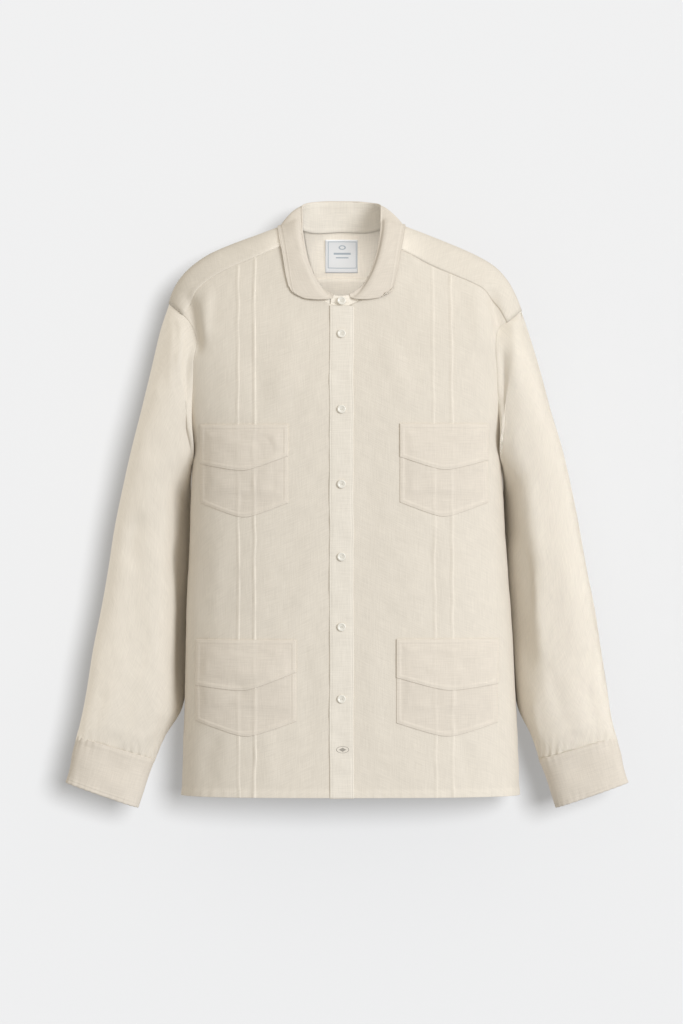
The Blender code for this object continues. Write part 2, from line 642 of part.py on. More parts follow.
def button(name, centre, outward):
    """A round button lying on the cloth, with a softened rim."""
    bpy.ops.mesh.primitive_cylinder_add(
        vertices=14, radius=BUTTON_WIDTH / 2 * MM, depth=BUTTON_THICK * MM)
    disc = bpy.context.object
    disc.name = name
    disc.data.name = name
    turn = np.arctan2(outward[1], outward[0])
    tilt = np.arccos(np.clip(outward[2], -1.0, 1.0))
    disc.rotation_euler = (0.0, tilt, turn)
    disc.location = tuple((centre + outward * (BUTTON_THICK / 2 + LAYER)) * MM)
    rim = disc.modifiers.new("rim", "BEVEL")
    rim.width = BUTTON_RIM * MM
    rim.segments = 1
    disc.data.materials.append(pearl)
    disc.data.shade_smooth()
    disc.data.set_sharp_from_angle(angle=np.radians(40.0))
    for owner in disc.users_collection:
        owner.objects.unlink(disc)
    shirt.objects.link(disc)
    return disc


# ---- build ----

for old in list(bpy.data.objects):
    bpy.data.objects.remove(old, do_unlink=True)
shirt = bpy.data.collections.new("guayabera_shirt")
bpy.context.scene.collection.children.link(shirt)

linen = material("oatmeal_linen", (0.735, 0.67, 0.585), 0.85)
doubled_linen = material("doubled_oatmeal_linen", (0.80, 0.74, 0.66), 0.85)
pearl = material("white_pearl_plastic", (0.86, 0.84, 0.78), 0.3)
label_tape = material("white_label_tape", (0.80, 0.80, 0.79), 0.7)

fronts = {side: front_grid(side) for side in (-1, 1)}
sewn_edges = ["first_row", "first_column", "last_column"]
cloth("front_right", trimmed(fronts[-1], sewn_edges), linen, inside_out=True)
cloth("front_left", trimmed(fronts[1], sewn_edges), linen)
cloth("back", trimmed(back_grid(), sewn_edges), linen)
cloth("yoke", trimmed(yoke_grid(fronts), sewn_edges + ["last_row"]), linen)
for side_name, side in (("right", -1), ("left", 1)):
    cloth("sleeve_" + side_name, sleeve_grid(side), linen, around=True, inside_out=side > 0)
    cuff = cuff_grid(side)
    cloth("cuff_" + side_name, cuff, doubled_linen, wall=CUFF_WALL, inside_out=side > 0)
    spot = cuff[CUFF_BUTTON_ROW, CUFF_BUTTON_COLUMN] + LAYER * BACKWARD
    button("cuff_button_" + side_name, spot, BACKWARD)

placket_heights = np.linspace(PLACKET_TOP, HEM, PLACKET_ROWS)[:, None]
placket_across = np.array([[-1.0, 0.0, 1.0]]) * (PLACKET_HALF - SEAM / 2)
level = np.ones((PLACKET_ROWS, 3))
placket = lifted(placket_across, placket_heights, -1, PLACKET_RISE * level)
button_stand = lifted(placket_across, placket_heights, -1, BUTTON_STAND_RISE * level)
cloth("placket", placket, doubled_linen, wall=DOUBLED)
cloth("button_stand", button_stand, doubled_linen)
cloth("collar_stand", stand_grid(), doubled_linen, wall=DOUBLED, inside_out=True)
cloth("collar_leaf", leaf_grid(), doubled_linen, wall=DOUBLED)

for name, right, left, top, corner, point, flap_side, flap_point in zip(
        POCKET_NAMES, *[POCKETS[key] for key in POCKETS]):
    pocket = patch_grid(right, left, top, corner, point, POCKET_RISE, POCKET_ROWS)
    flap = patch_grid(right, left, top, flap_side, flap_point, FLAP_RISE, FLAP_ROWS)
    cloth("pocket_" + name, pocket, doubled_linen)
    cloth("flap_" + name, flap, doubled_linen)

label_across = np.linspace(-LABEL_HALF, LABEL_HALF, 4)[None]
label_heights = np.linspace(LABEL_TOP, LABEL_TOP - 2 * LABEL_HALF, 5)[:, None]
label_sink = np.full((5, 4), -LABEL_SINK)
cloth("neck_label", lifted(label_across, label_heights, 1, label_sink), label_tape, wall=LABEL_WALL,
      inside_out=True)

for number, height in enumerate(BUTTONS, 1):
    place = np.zeros(1)
    spot = lifted(place, np.full(1, float(height)), -1, np.full(1, PLACKET_RISE))[0]
    outward = body_outward(place, fall_at(place, height, -1))[0]
    button(f"button_{number}", spot, outward)
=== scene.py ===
import bpy
import numpy as np
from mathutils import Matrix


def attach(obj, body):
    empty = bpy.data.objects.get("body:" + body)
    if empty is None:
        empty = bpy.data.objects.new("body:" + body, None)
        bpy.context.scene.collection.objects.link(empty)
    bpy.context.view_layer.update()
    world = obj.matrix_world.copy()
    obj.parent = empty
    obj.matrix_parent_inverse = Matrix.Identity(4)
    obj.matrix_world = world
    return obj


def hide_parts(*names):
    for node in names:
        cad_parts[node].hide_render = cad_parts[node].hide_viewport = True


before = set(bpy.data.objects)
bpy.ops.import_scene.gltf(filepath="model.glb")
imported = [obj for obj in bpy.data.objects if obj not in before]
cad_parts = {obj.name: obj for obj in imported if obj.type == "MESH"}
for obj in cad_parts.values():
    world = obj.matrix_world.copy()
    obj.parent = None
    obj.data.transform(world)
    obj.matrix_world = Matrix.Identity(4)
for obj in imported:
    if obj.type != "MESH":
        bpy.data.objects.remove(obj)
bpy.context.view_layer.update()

# ---- Fronts ----
# Two cut pieces of slubby linen, one layer thick. Each has two narrow tucks, pressed towards the
# wearer's left and stitched from the yoke to the hem, and a double-turned hem 11 mm deep.
# Sizes are in millimetres. The middle of the neck at the back collar seam is 0, and -Y is forward.

MM = 0.001
LINEN_WALL = 0.7             # one layer, with its nap
DOUBLED_WALL = 1.1           # two layers pressed together
BODY_CORNER = 2.6            # how square the body is in plan: 2 is an ellipse
SHOULDER_DROP = 130.0        # height over which the shoulder rounds from front to back
HEM = -756.0
HEM_DEPTH = 11.0
UNDERARM = -300.0


def table(columns, *rows):
    """Name the columns of a short table that has one row for each section."""
    names = columns.split()
    return {name: np.array([row[place] for row in rows], float) for place, name in enumerate(names)}


def smooth(places, values):
    """A curve through a table's points that never swings past them: cubic between the points, with
    the harmonic mean of the slopes on either side of each point. Values may be whole arrays."""
    order = np.argsort(places)
    place = np.asarray(places, float)[order]
    value = np.asarray(values, float)[order]
    deep = value.reshape(len(place), -1)
    gap = np.diff(place)[:, None]
    rise = np.diff(deep, axis=0) / gap
    slope = np.zeros_like(deep)
    product = rise[:-1] * rise[1:]
    total = np.where(product > 0, rise[:-1] + rise[1:], 1.0)
    slope[1:-1] = np.where(product > 0, 2.0 * product / total, 0.0)
    slope[0] = rise[0]
    slope[-1] = rise[-1]

    def curve(at):
        at = np.asarray(at, float)
        flat = np.clip(at.reshape(-1), place[0], place[-1])
        cell = np.clip(np.searchsorted(place, flat) - 1, 0, len(place) - 2)
        part = ((flat - place[cell]) / gap[cell, 0])[:, None]
        rest = 1.0 - part
        near = (1.0 + 2.0 * part) * deep[cell] + part * gap[cell] * slope[cell]
        far = (1.0 + 2.0 * rest) * deep[cell + 1] - rest * gap[cell] * slope[cell + 1]
        return (rest * rest * near + part * part * far).reshape(at.shape + value.shape[1:])

    return curve


def ease(value):
    """0 below 0, 1 above 1, and a soft S between: 3t^2 - 2t^3."""
    part = np.clip(value, 0.0, 1.0)
    return part * part * (3.0 - 2.0 * part)


def bell(distance, width):
    """1 in the middle, falling away on both sides like a bell."""
    return np.exp(-((distance / width) ** 2))


def signed_power(value, power):
    """Raise the size of a value to a power and keep its sign."""
    return np.sign(value) * np.abs(value) ** power


BODY = table(
    "height right left front back",
    (30, 236, 246, 60, 60),
    (-60, 236, 246, 63, 70),
    (-100, 236, 246, 68, 77),
    (-137, 229, 240, 75, 83),
    (-200, 219, 230, 86, 89),
    (-245, 213, 225, 91, 91),
    (UNDERARM, 200.5, 214.5, 94, 91),
    (-389, 202.2, 217.8, 95, 88),
    (-496, 207, 225.8, 95, 86),
    (-623, 209.8, 233.4, 96, 87),
    (HEM, 214.5, 238.7, 98, 90))
right_half, left_half, front_depth, back_depth = [
    smooth(BODY["height"], BODY[key]) for key in ("right", "left", "front", "back")]

SHOULDER = table(
    "across height",
    (-231.2, -99.2), (-227.1, -85.8), (-216.4, -66.3), (-199, -48.2), (-176.5, -33),
    (-143.2, -18.5), (-110, -6.3), (-82.4, 4), (-60, 12), (0, 26), (60, 13), (88.8, 2.9),
    (137.4, -16.1), (182.9, -36.2), (205.7, -50.3), (223.1, -69.7), (234, -90), (241.2, -108.5))
shoulder_line = smooth(SHOULDER["across"], SHOULDER["height"])

ARMHOLE = {-1: table(            # -1 is the wearer's right, 1 the left
    "height across",
    (-99.2, -231.2), (-111, -216.4), (-120.6, -206.4), (-137, -199), (-155, -195.8), (-187, -197),
    (-228, -199), (-264, -200), (UNDERARM, -200.5)), 1: table(
    "height across",
    (-108.5, 241.2), (-120, 227), (-132, 214), (-145, 207), (-160, 205), (-187, 206.5),
    (-228, 208.5), (-264, 212), (UNDERARM, 214.5))}
BACK_ARMHOLE_SPREAD = 6.0

YOKE_SEAM = {-1: table(
    "across height",
    (-59.5, -14.5), (-82, -24), (-118.6, -40), (-145, -51), (-170, -64), (-188.8, -78), (-203, -96),
    (-211.5, -115)), 1: table(
    "across height",
    (59.5, -19), (89, -33), (120, -50), (149.4, -62), (180, -75), (198, -86.5), (212, -103),
    (221.5, -125))}


def armhole(side, height, face):
    """Where the armhole seam crosses a height: side -1 is the wearer's right, face +1 the back."""
    rows = ARMHOLE[side]
    across = smooth(rows["height"], rows["across"])(height)
    top = rows["height"][0]
    share = np.clip((top - height) / (top - UNDERARM), 0.0, 1.0)
    spread = BACK_ARMHOLE_SPREAD * np.sin(np.pi * share) if face > 0 else 0.0
    return across + side * spread


def side_half(side, height):
    """Half width of the body at a height, on one side."""
    return right_half(height) if side < 0 else left_half(height)


def on_body(across, fall):
    """Points of the filled-out body form. fall is the root of the drop below the shoulder line,
    counted negative in front and positive behind. The depth there is the full depth, times a
    squared-off circle in plan, times a quarter circle over the shoulder."""
    height = shoulder_line(across) - fall * fall
    half = np.where(across < 0.0, right_half(height), left_half(height))
    reach = np.clip(np.abs(across) / half, 0.0, 1.0)
    around = (1.0 - reach ** BODY_CORNER) ** (1.0 / BODY_CORNER)
    drop = np.clip(fall * fall / SHOULDER_DROP, 0.0, 1.0)
    over = np.sqrt(1.0 - (1.0 - drop) ** 2)
    depth = np.where(fall < 0.0, -front_depth(height), back_depth(height))
    return np.stack([across, depth * around * over, height], axis=-1)


def fall_at(across, height, face):
    """The fall that on_body needs to reach a height, on the front (-1) or the back (+1)."""
    return face * np.sqrt(np.maximum(shoulder_line(across) - height, 0.0))


def body_outward(across, fall):
    """Unit vectors that point out of the body form: the cross product of two short steps on it."""
    step = 0.05
    inward = np.where(across > 0.0, -step, step)
    east = (on_body(across + inward, fall) - on_body(across, fall)) / inward[..., None]
    down = on_body(across, fall + step) - on_body(across, fall - step)
    outward = np.cross(east, down)
    return outward / np.linalg.norm(outward, axis=-1, keepdims=True)


# Soft folds seen from the front: a line from (x1, z1) to (x2, z2), bowed sideways in the middle,
# its half widths on the side towards -X and towards +X, and how far it stands out (- is a trough).
FRONT_FOLDS = table(
    "x1 z1 x2 z2 bow near far rise",
    (-206, -88, -193, -168, 3, 8, 9, -9.0),
    (-176, -78, -181, -150, -2, 10, 8, 2.6),
    (-120, -160, -108, -250, 3, 14, 18, -1.6),
    (-60, -130, -88, -240, 4, 16, 12, 1.3),
    (-30, -420, -58, -520, 0, 14, 18, 1.1),
    (-48, -560, -42, -700, 2, 12, 15, -1.1),
    (-150, -430, -160, -535, 3, 13, 15, -1.4),
    (-186, -400, -190, -600, 3, 14, 18, -2.2),
    (-100, -668, -96, -745, 2, 11, 12, 1.2),
    (-170, -668, -178, -752, -3, 13, 15, -2.0),
    (198, -78, 214, -150, 4, 9, 8, -8.5),
    (176, -84, 184, -160, 2, 11, 9, 2.4),
    (60, -150, 96, -235, -4, 15, 14, 1.3),
    (40, -250, 34, -400, 2, 14, 16, -1.0),
    (110, -400, 122, -520, 3, 15, 13, -1.6),
    (180, -390, 188, -530, 2, 13, 14, -1.8),
    (40, -540, 46, -700, -2, 14, 15, 1.1),
    (160, -672, 168, -750, 2, 11, 13, -1.4),
    (215, -560, 222, -740, 0, 15, 12, -2.2))
BACK_FOLDS = table(
    "x1 z1 x2 z2 bow near far rise",
    (-200, -130, -188, -260, 4, 10, 11, -7.0),
    (204, -135, 198, -270, -4, 10, 11, -7.5),
    (-120, -150, -95, -420, 8, 26, 20, 2.4),
    (110, -160, 84, -400, -7, 24, 22, 2.6),
    (-30, -140, -44, -360, 3, 18, 26, -1.8),
    (62, -330, 40, -640, 5, 26, 22, -2.4),
    (-128, -420, -140, -750, 4, 30, 24, -3.4),
    (150, -440, 158, -752, -4, 26, 28, -3.2),
    (-40, -480, -30, -752, 2, 26, 22, 2.2),
    (96, -560, 92, -752, 2, 20, 22, 1.8))


def folds(across, height, drawn):
    """How far the folds of a table stand out at each place: the sum of their bells, each square to
    its own line and faded over the line's two ends."""
    total = np.zeros(np.broadcast(across, height).shape)
    for x1, z1, x2, z2, bow, near, far, rise in zip(*drawn.values()):
        length = np.hypot(x2 - x1, z2 - z1)
        east, down = (x2 - x1) / length, (z2 - z1) / length
        part = ((across - x1) * east + (height - z1) * down) / length
        aside = (across - x1) * -down + (height - z1) * east
        middle = np.clip(part, 0.0, 1.0)
        aside = aside - bow * 4.0 * middle * (1.0 - middle)
        width = np.where(aside < 0.0, near, far)
        fade = ease((part + 0.12) / 0.4) * ease((1.12 - part) / 0.4)
        total += rise * bell(aside, width) * fade
    return total


def unevenness(first, second, size, seed):
    """Soft hills about one size apart: seeded random heights on a lattice, blended with an S curve
    between its points. It runs from about -1 to 1."""
    heights = np.random.default_rng(seed).uniform(-1.0, 1.0, (64, 64))
    a, b = np.asarray(first) / size + 20.0, np.asarray(second) / size + 20.0
    i, j = np.floor(a).astype(int), np.floor(b).astype(int)
    s, t = ease(a - i), ease(b - j)
    i0, i1, j0, j1 = i % 64, (i + 1) % 64, j % 64, (j + 1) % 64
    top = heights[i0, j0] * (1 - s) + heights[i1, j0] * s
    low = heights[i0, j1] * (1 - s) + heights[i1, j1] * s
    return top * (1 - t) + low * t


def drift(along, size, seed):
    """Unevenness along one direction only."""
    return unevenness(along, 0.0 * along, size, seed)


def relief(across, fall):
    """How far the worn cloth of the body stands out of its form: folds, and a gentle unevenness,
    with one set in front and another behind, both fading out over the shoulder."""
    height = shoulder_line(across) - fall * fall
    front = ease(-fall / 4.0) * (folds(across, height, FRONT_FOLDS)
                                 + 0.55 * unevenness(across, height, 34.0, 5)
                                 + 0.22 * unevenness(across, height, 12.0, 6))
    back = ease(fall / 4.0) * (folds(across, height, BACK_FOLDS)
                               + 1.0 * unevenness(across, height, 46.0, 8)
                               + 0.25 * unevenness(across, height, 13.0, 9))
    return front + back


def on_cloth(across, fall, rise):
    """Points on the worn cloth of the body, moved out by a rise."""
    out = (rise + relief(across, fall))[..., None] * body_outward(across, fall)
    return on_body(across, fall) + out


def over_front(across, height, rise, face=-1):
    """Points at a height on the worn front (or with face 1 the back), moved out by a rise."""
    across, height, rise = np.broadcast_arrays(
        np.asarray(across, float), np.asarray(height, float), np.asarray(rise, float))
    return on_cloth(across, fall_at(across, height, face), rise)


TUCKS = table(
    "top bottom rise",
    (-138.5, -137, 0.6), (-117, -115.5, 1.1), (119.5, 124.5, 0.7), (144, 147.5, 1.1))
TUCK_BACK = 3.2              # the tuck's stitched side is this far to one side of its line
TUCK_FREE = 2.4              # and its free edge this far to the other


def tuck_rise(across, height):
    """How far the pressed tucks stand out: a slow climb from the stitches to the free edge, and a
    sharp drop there. The tucks wander a little and swell where the iron missed them."""
    share = np.clip(height / HEM, 0.0, 1.0)
    rise = np.zeros(np.broadcast(across, height).shape)
    for number, (top, bottom, stand) in enumerate(zip(*TUCKS.values())):
        wander = 0.9 * drift(height, 26.0, 20 + number)
        swell = 1.0 + 0.45 * drift(height, 17.0, 30 + number)
        aside = across - (top + (bottom - top) * share) - wander
        climb = ease((aside + TUCK_BACK) / (TUCK_BACK + 0.6 * TUCK_FREE))
        drop = ease((TUCK_FREE + 0.5 - aside) / 0.7)
        rise = np.maximum(rise, stand * swell * climb * drop)
    return rise


def hem_rise(across, height):
    """The turned hem: thicker over its depth, a groove where it is stitched, and small puckers."""
    above = height - HEM
    band = ease((HEM_DEPTH + 0.8 - above) / 1.6)
    groove = bell(above - HEM_DEPTH + 1.6, 1.1)
    pucker = np.sin(across / 2.1 + 2.0 * unevenness(across, above, 19.0, 41))
    pucker = pucker * bell(above - 4.0, 9.0) * (0.6 + 0.4 * drift(across, 23.0, 42))
    return 0.5 * band - 0.45 * groove + 0.32 * pucker


def joined(*runs):
    """Evenly spaced runs, each given by its ends and its count, joined without doubled ends."""
    parts = [np.linspace(*run) for run in runs]
    return np.concatenate(parts[:1] + [part[1:] for part in parts[1:]])


NECK_HALF = 64.0
NECK_FRONT = 11.36           # root of the fall below the shoulder line
NECK_BACK = 5.1
NECK_CORNER = 2.5


def front_neck_height(across):
    """Height of the neck seam on a front, a squarish oval on the unrolled shoulder."""
    rest = np.maximum(1.0 - (across / NECK_HALF) ** NECK_CORNER, 0.0)
    fall = NECK_FRONT * rest ** (1.0 / NECK_CORNER)
    return shoulder_line(across) - fall * fall


FRONT_ROWS = table(          # where the rows above the underarm end at the middle and at the side
    "middle side",
    (0, 0), (-45, -140), (-72, -165), (-96, -195), (-135, -228), (-190, -258), (-246, -282),
    (UNDERARM, UNDERARM))
TOP_FADE = 6.0               # rows over which the yoke seam's curve fades out
UPPER_ROWS = 64
LOWER_HEIGHTS = np.concatenate([np.linspace(UNDERARM, HEM + 14.0, 130)[1:],
                                HEM + np.array([12.6, 11.4, 10.2, 9, 7.5, 6, 4, 2, 0.7, 0])])
UNDER_YOKE = 6.0             # the front and the back run this far under the yoke
UNDER_PLACKET = 11.5         # and the fronts run under the placket to this far from the middle


def tucked_under(across, height, rise):
    """Add a first row that runs under the yoke, and sink the row at its seam."""
    rise[0] = -0.2
    return (np.concatenate([across[:1], across]), np.concatenate([height[:1] + UNDER_YOKE, height]),
            np.concatenate([0.0 * rise[:1] - 0.6, rise]))


def front_grid(side):
    """Rows of one front from under the yoke to the hem, columns from the placket to the side seam,
    drawn close together at the tucks and where the front turns round the side."""
    seam = YOKE_SEAM[side]
    seam_height = smooth(seam["across"], seam["height"])
    number = np.linspace(0.0, 7.0, UPPER_ROWS)
    middle_rows = np.concatenate([[seam["height"][0]], FRONT_ROWS["middle"][1:]])
    side_rows = np.concatenate([[seam["height"][-1]], FRONT_ROWS["side"][1:]])
    middle = np.concatenate([smooth(np.arange(8.0), middle_rows)(number), LOWER_HEIGHTS])[:, None]
    outer = np.concatenate([smooth(np.arange(8.0), side_rows)(number), LOWER_HEIGHTS])[:, None]
    number = np.concatenate([number, np.full(len(LOWER_HEIGHTS), 7.0)])[:, None]
    neck_across = np.linspace(UNDER_PLACKET, abs(seam["across"][0]), 24)
    inner_end = side * smooth(front_neck_height(neck_across), neck_across)(middle)
    outer_end = np.where(outer > UNDERARM, armhole(side, outer, -1), side * side_half(side, outer))
    lines = sorted(zip(TUCKS["top"], TUCKS["bottom"]), key=lambda tuck: abs(tuck[0]))
    lines = [top + (bottom - top) * np.clip(middle / HEM, 0.0, 1.0)
             for top, bottom in lines if top * side > 0]
    stops = [inner_end, lines[0] - 4.5 * side, lines[0] + 4.5 * side, lines[1] - 4.5 * side,
             lines[1] + 4.5 * side, outer_end]
    spacings = [np.linspace(0, 1, 30), np.linspace(0, 1, 17), np.linspace(0, 1, 7),
                np.linspace(0, 1, 17), 1.0 - (1.0 - np.linspace(0, 1, 44)) ** 1.9]
    parts = [start + (end - start) * spacing[None, 1:]
             for start, end, spacing in zip(stops[:-1], stops[1:], spacings)]
    across = np.concatenate([stops[0]] + parts, axis=1)
    along = (across - inner_end) / (outer_end - inner_end)
    height = middle + (outer - middle) * along ** 2
    straight = seam["height"][0] + (seam["height"][-1] - seam["height"][0]) * along ** 2
    across_seam = seam["across"][0] + (seam["across"][-1] - seam["across"][0]) * along
    fade = np.clip(1.0 - number / TOP_FADE, 0.0, 1.0) ** 2
    height = height + fade * (seam_height(across_seam) - straight)
    tucks = tuck_rise(across, height)
    hem = ease((HEM_DEPTH + 0.8 - (height - HEM)) / 1.6)
    layers = np.maximum(np.clip(tucks, 0.0, 1.0), 0.4 * hem)
    layers = np.concatenate([layers[:1], layers])
    return over_front(*tucked_under(across, height, tucks + hem_rise(across, height))), layers


def placed(name, data):
    """Put an object with this mesh, light or camera into the scene."""
    made = bpy.data.objects.new(name, data)
    bpy.context.scene.collection.objects.link(made)
    return made


def quads(values):
    """The four corners of each cell between a grid's rows and columns."""
    return np.stack([values[:-1, :-1], values[1:, :-1], values[1:, 1:], values[:-1, 1:]], axis=2)


def sewn(name, grid, finish, wall, slot, stands_for, around=False, inside_out=False, layers=None):
    """Make a thin piece of cloth from a grid of points in rows, its wall going inwards. Its map is
    the distance over the cloth in metres, across from its middle column and down each column, so
    the weave follows the cut. Layers is 1 where the cloth is folded double and 0 elsewhere."""
    rows, columns = grid.shape[:2]
    numbers = np.arange(rows * columns).reshape(rows, columns)
    wide = grid
    if around:
        numbers = np.concatenate([numbers, numbers[:, :1]], axis=1)
        wide = np.concatenate([grid, grid[:, :1]], axis=1)
    across = np.linalg.norm(np.diff(wide, axis=1), axis=-1)
    across = np.concatenate([np.zeros((rows, 1)), np.cumsum(across, axis=1)], axis=1)
    across = across - across[:, across.shape[1] // 2, None]
    down = np.linalg.norm(np.diff(wide, axis=0), axis=-1)
    down = np.concatenate([np.zeros((1, down.shape[1])), np.cumsum(down, axis=0)], axis=0)
    chart = np.stack([across, down], axis=-1) * MM

    def corners(values):
        turned = quads(values)[:, :, ::-1] if inside_out else quads(values)
        return turned.reshape(-1, turned.shape[-1])

    mesh = bpy.data.meshes.new(name)
    mesh.from_pydata((grid.reshape(-1, 3) * MM).tolist(), [], corners(numbers).tolist())
    layer = mesh.uv_layers.new(name="cloth")
    layer.data.foreach_set("uv", corners(chart).reshape(-1).astype(np.float32))
    folded = mesh.attributes.new("layers", "FLOAT", "POINT")
    if layers is not None:
        folded.data.foreach_set("value", layers.reshape(-1).astype(np.float32))
    mesh.shade_smooth()
    mesh.materials.append(finish)
    piece = placed(name, mesh)
    shell = piece.modifiers.new("wall", "SOLIDIFY")
    shell.thickness = wall * MM
    shell.offset = -1.0
    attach(piece, "root")
    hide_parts(stands_for)
    return piece


def linear(colour):
    """Turn an sRGB hex colour to linear red, green and blue."""
    parts = np.array([int(colour[place:place + 2], 16) for place in (1, 3, 5)]) / 255.0
    low = parts / 12.92
    high = ((parts + 0.055) / 1.055) ** 2.4
    return (*np.where(parts <= 0.04045, low, high), 1.0)


def node(tree, kind, settings=(), links=()):
    """Add a node. Settings are its properties and its sockets' values; links feed its sockets."""
    made = tree.nodes.new(kind)
    for key, value in dict(settings).items():
        if isinstance(key, str) and hasattr(made, key):
            setattr(made, key, value)
        else:
            made.inputs[key].default_value = value
    for key, source in dict(links).items():
        tree.links.new(source, made.inputs[key])
    return made


def maths(tree, operation, *terms):
    """Add a maths node and give its output. Each term is a number or the output of another node."""
    made = node(tree, "ShaderNodeMath", {"operation": operation})
    for place, term in enumerate(terms):
        if isinstance(term, (int, float)):
            made.inputs[place].default_value = term
        else:
            tree.links.new(term, made.inputs[place])
    return made.outputs[0]


def material(name, values):
    """Make a material with these values on its shader, and give its node tree and shader too."""
    made = bpy.data.materials.new(name)
    made.use_nodes = True
    shader = made.node_tree.nodes["Principled BSDF"]
    for key, value in values.items():
        shader.inputs[key].default_value = value
    return made, made.node_tree, shader


# Linen is woven from flax yarn of uneven thickness, so thick slubs show as short pale and dark
# streaks along both threads. The threads are about 0.5 mm apart; the streaks are drawn 1.3 mm wide
# and 10 to 40 mm long so that they show, and washing leaves the cloth matt with a faint nap.
SLUB_WIDE = 1.3 * MM
SLUB_LONG = 24.0 * MM
THREAD = 0.55 * MM
FOLDED_PALER = 0.09          # how much paler this open weave looks where it is double


def linen(name, colour, tone=0.08, relief_depth=0.16):
    """The cloth: two crossed sets of stretched noise for the slubs and a slow cloudiness set its
    tone, from 1 - tone to 1 + tone, and the slubs and the weave, two crossed waves, its bumps."""
    made, tree, shader = material(name, {"Roughness": 0.88, "Specular IOR Level": 0.25,
                                         "Sheen Weight": 0.12, "Sheen Roughness": 0.6})
    place = node(tree, "ShaderNodeUVMap", {"uv_map": "cloth"}).outputs["UV"]
    grains = [node(tree, "ShaderNodeMapping", {"Location": moved, "Scale": scale},
                   {"Vector": place}) for moved, scale in (
              ((0.0, 0.0, 0.0), (1 / SLUB_WIDE, 1 / SLUB_LONG, 1.0)),
              ((7.3, 2.1, 4.0), (1 / SLUB_LONG, 1 / SLUB_WIDE, 1.0)))]
    slubs = [node(tree, "ShaderNodeTexNoise", {"Scale": 1.0, "Detail": 2.0, "Roughness": 0.55},
                  {"Vector": grain.outputs["Vector"]}).outputs["Fac"] for grain in grains]
    both = maths(tree, "ADD", *slubs)
    cloudy = node(tree, "ShaderNodeTexNoise", {"Scale": 38.0, "Detail": 3.0, "Roughness": 0.6},
                  {"Vector": place}).outputs["Fac"]
    shade = node(tree, "ShaderNodeMapRange",
                 {"From Min": 0.75, "From Max": 1.6, "To Min": 1.0 - tone, "To Max": 1.0 + tone},
                 {"Value": maths(tree, "MULTIPLY_ADD", cloudy, 0.35, both)})
    folded = node(tree, "ShaderNodeAttribute", {"attribute_name": "layers"}).outputs["Fac"]
    shade = maths(tree, "MULTIPLY_ADD", folded, FOLDED_PALER, shade.outputs["Result"])
    tinted = node(tree, "ShaderNodeVectorMath", {"operation": "SCALE", 0: linear(colour)[:3]},
                  {"Scale": shade})
    tree.links.new(tinted.outputs["Vector"], shader.inputs["Base Color"])
    threads = [node(tree, "ShaderNodeTexWave",
                    {"bands_direction": way, "Scale": 0.1 * np.pi / THREAD,
                     "Distortion": 1.2, "Detail": 1.0, "Detail Scale": 0.6},
                    {"Vector": place}).outputs["Fac"] for way in ("X", "Y")]
    surface = maths(tree, "MULTIPLY_ADD", maths(tree, "MULTIPLY", *threads), 0.25, both)
    bump = node(tree, "ShaderNodeBump", {"Strength": 0.55, "Distance": relief_depth * MM},
                {"Height": surface})
    tree.links.new(bump.outputs["Normal"], shader.inputs["Normal"])
    return made


oatmeal_linen = linen("oatmeal_slub_linen", "#e2dacd")
doubled_linen = linen("doubled_oatmeal_slub_linen", "#e9e2d6")
pocket_linen = linen("pocket_oatmeal_slub_linen", "#dfd6c9")
SINGLE = (oatmeal_linen, LINEN_WALL, "oatmeal_linen")
DOUBLED = (doubled_linen, DOUBLED_WALL, "doubled_oatmeal_linen")
BAND = (pocket_linen, DOUBLED_WALL, "doubled_oatmeal_linen")
PATCH = (pocket_linen, LINEN_WALL, "doubled_oatmeal_linen")

front_parts = {side: front_grid(side) for side in (-1, 1)}
front_right = sewn("front_right_panel", front_parts[-1][0], *SINGLE, "front_right",
                   inside_out=True, layers=front_parts[-1][1])
front_left = sewn("front_left_panel", front_parts[1][0], *SINGLE, "front_left",
                  layers=front_parts[1][1])


# ---- Back ----
# One plain cut piece of the same linen, one layer thick, hung from the yoke and sewn to the fronts
# at the sides. It has the same turned hem.

YOKE_BACK = 67.0             # drop of the back yoke seam at the centre
YOKE_BACK_SAG = 68.0         # how much further it has dropped
YOKE_BACK_HALF = 215.0       # at this distance from the centre, beside the armholes
BACK_DIP = 2.2


def back_seam_height(across):
    """Height of the back yoke seam: level in the middle and lower towards the armholes."""
    return -YOKE_BACK - YOKE_BACK_SAG * (np.abs(across) / YOKE_BACK_HALF) ** BACK_DIP


BACK_ROWS = table(
    "middle side",
    (-YOKE_BACK, 0), (-110, -165), (-160, -200), (-210, -240), (-258, -275), (UNDERARM, UNDERARM))


def back_corner(side):
    """Where the back yoke seam meets the armhole, as across and height."""
    heights = np.linspace(-105.0, -170.0, 400)
    across = armhole(side, heights, 1)
    nearest = np.argmin(np.abs(back_seam_height(across) - heights))
    return across[nearest], heights[nearest]


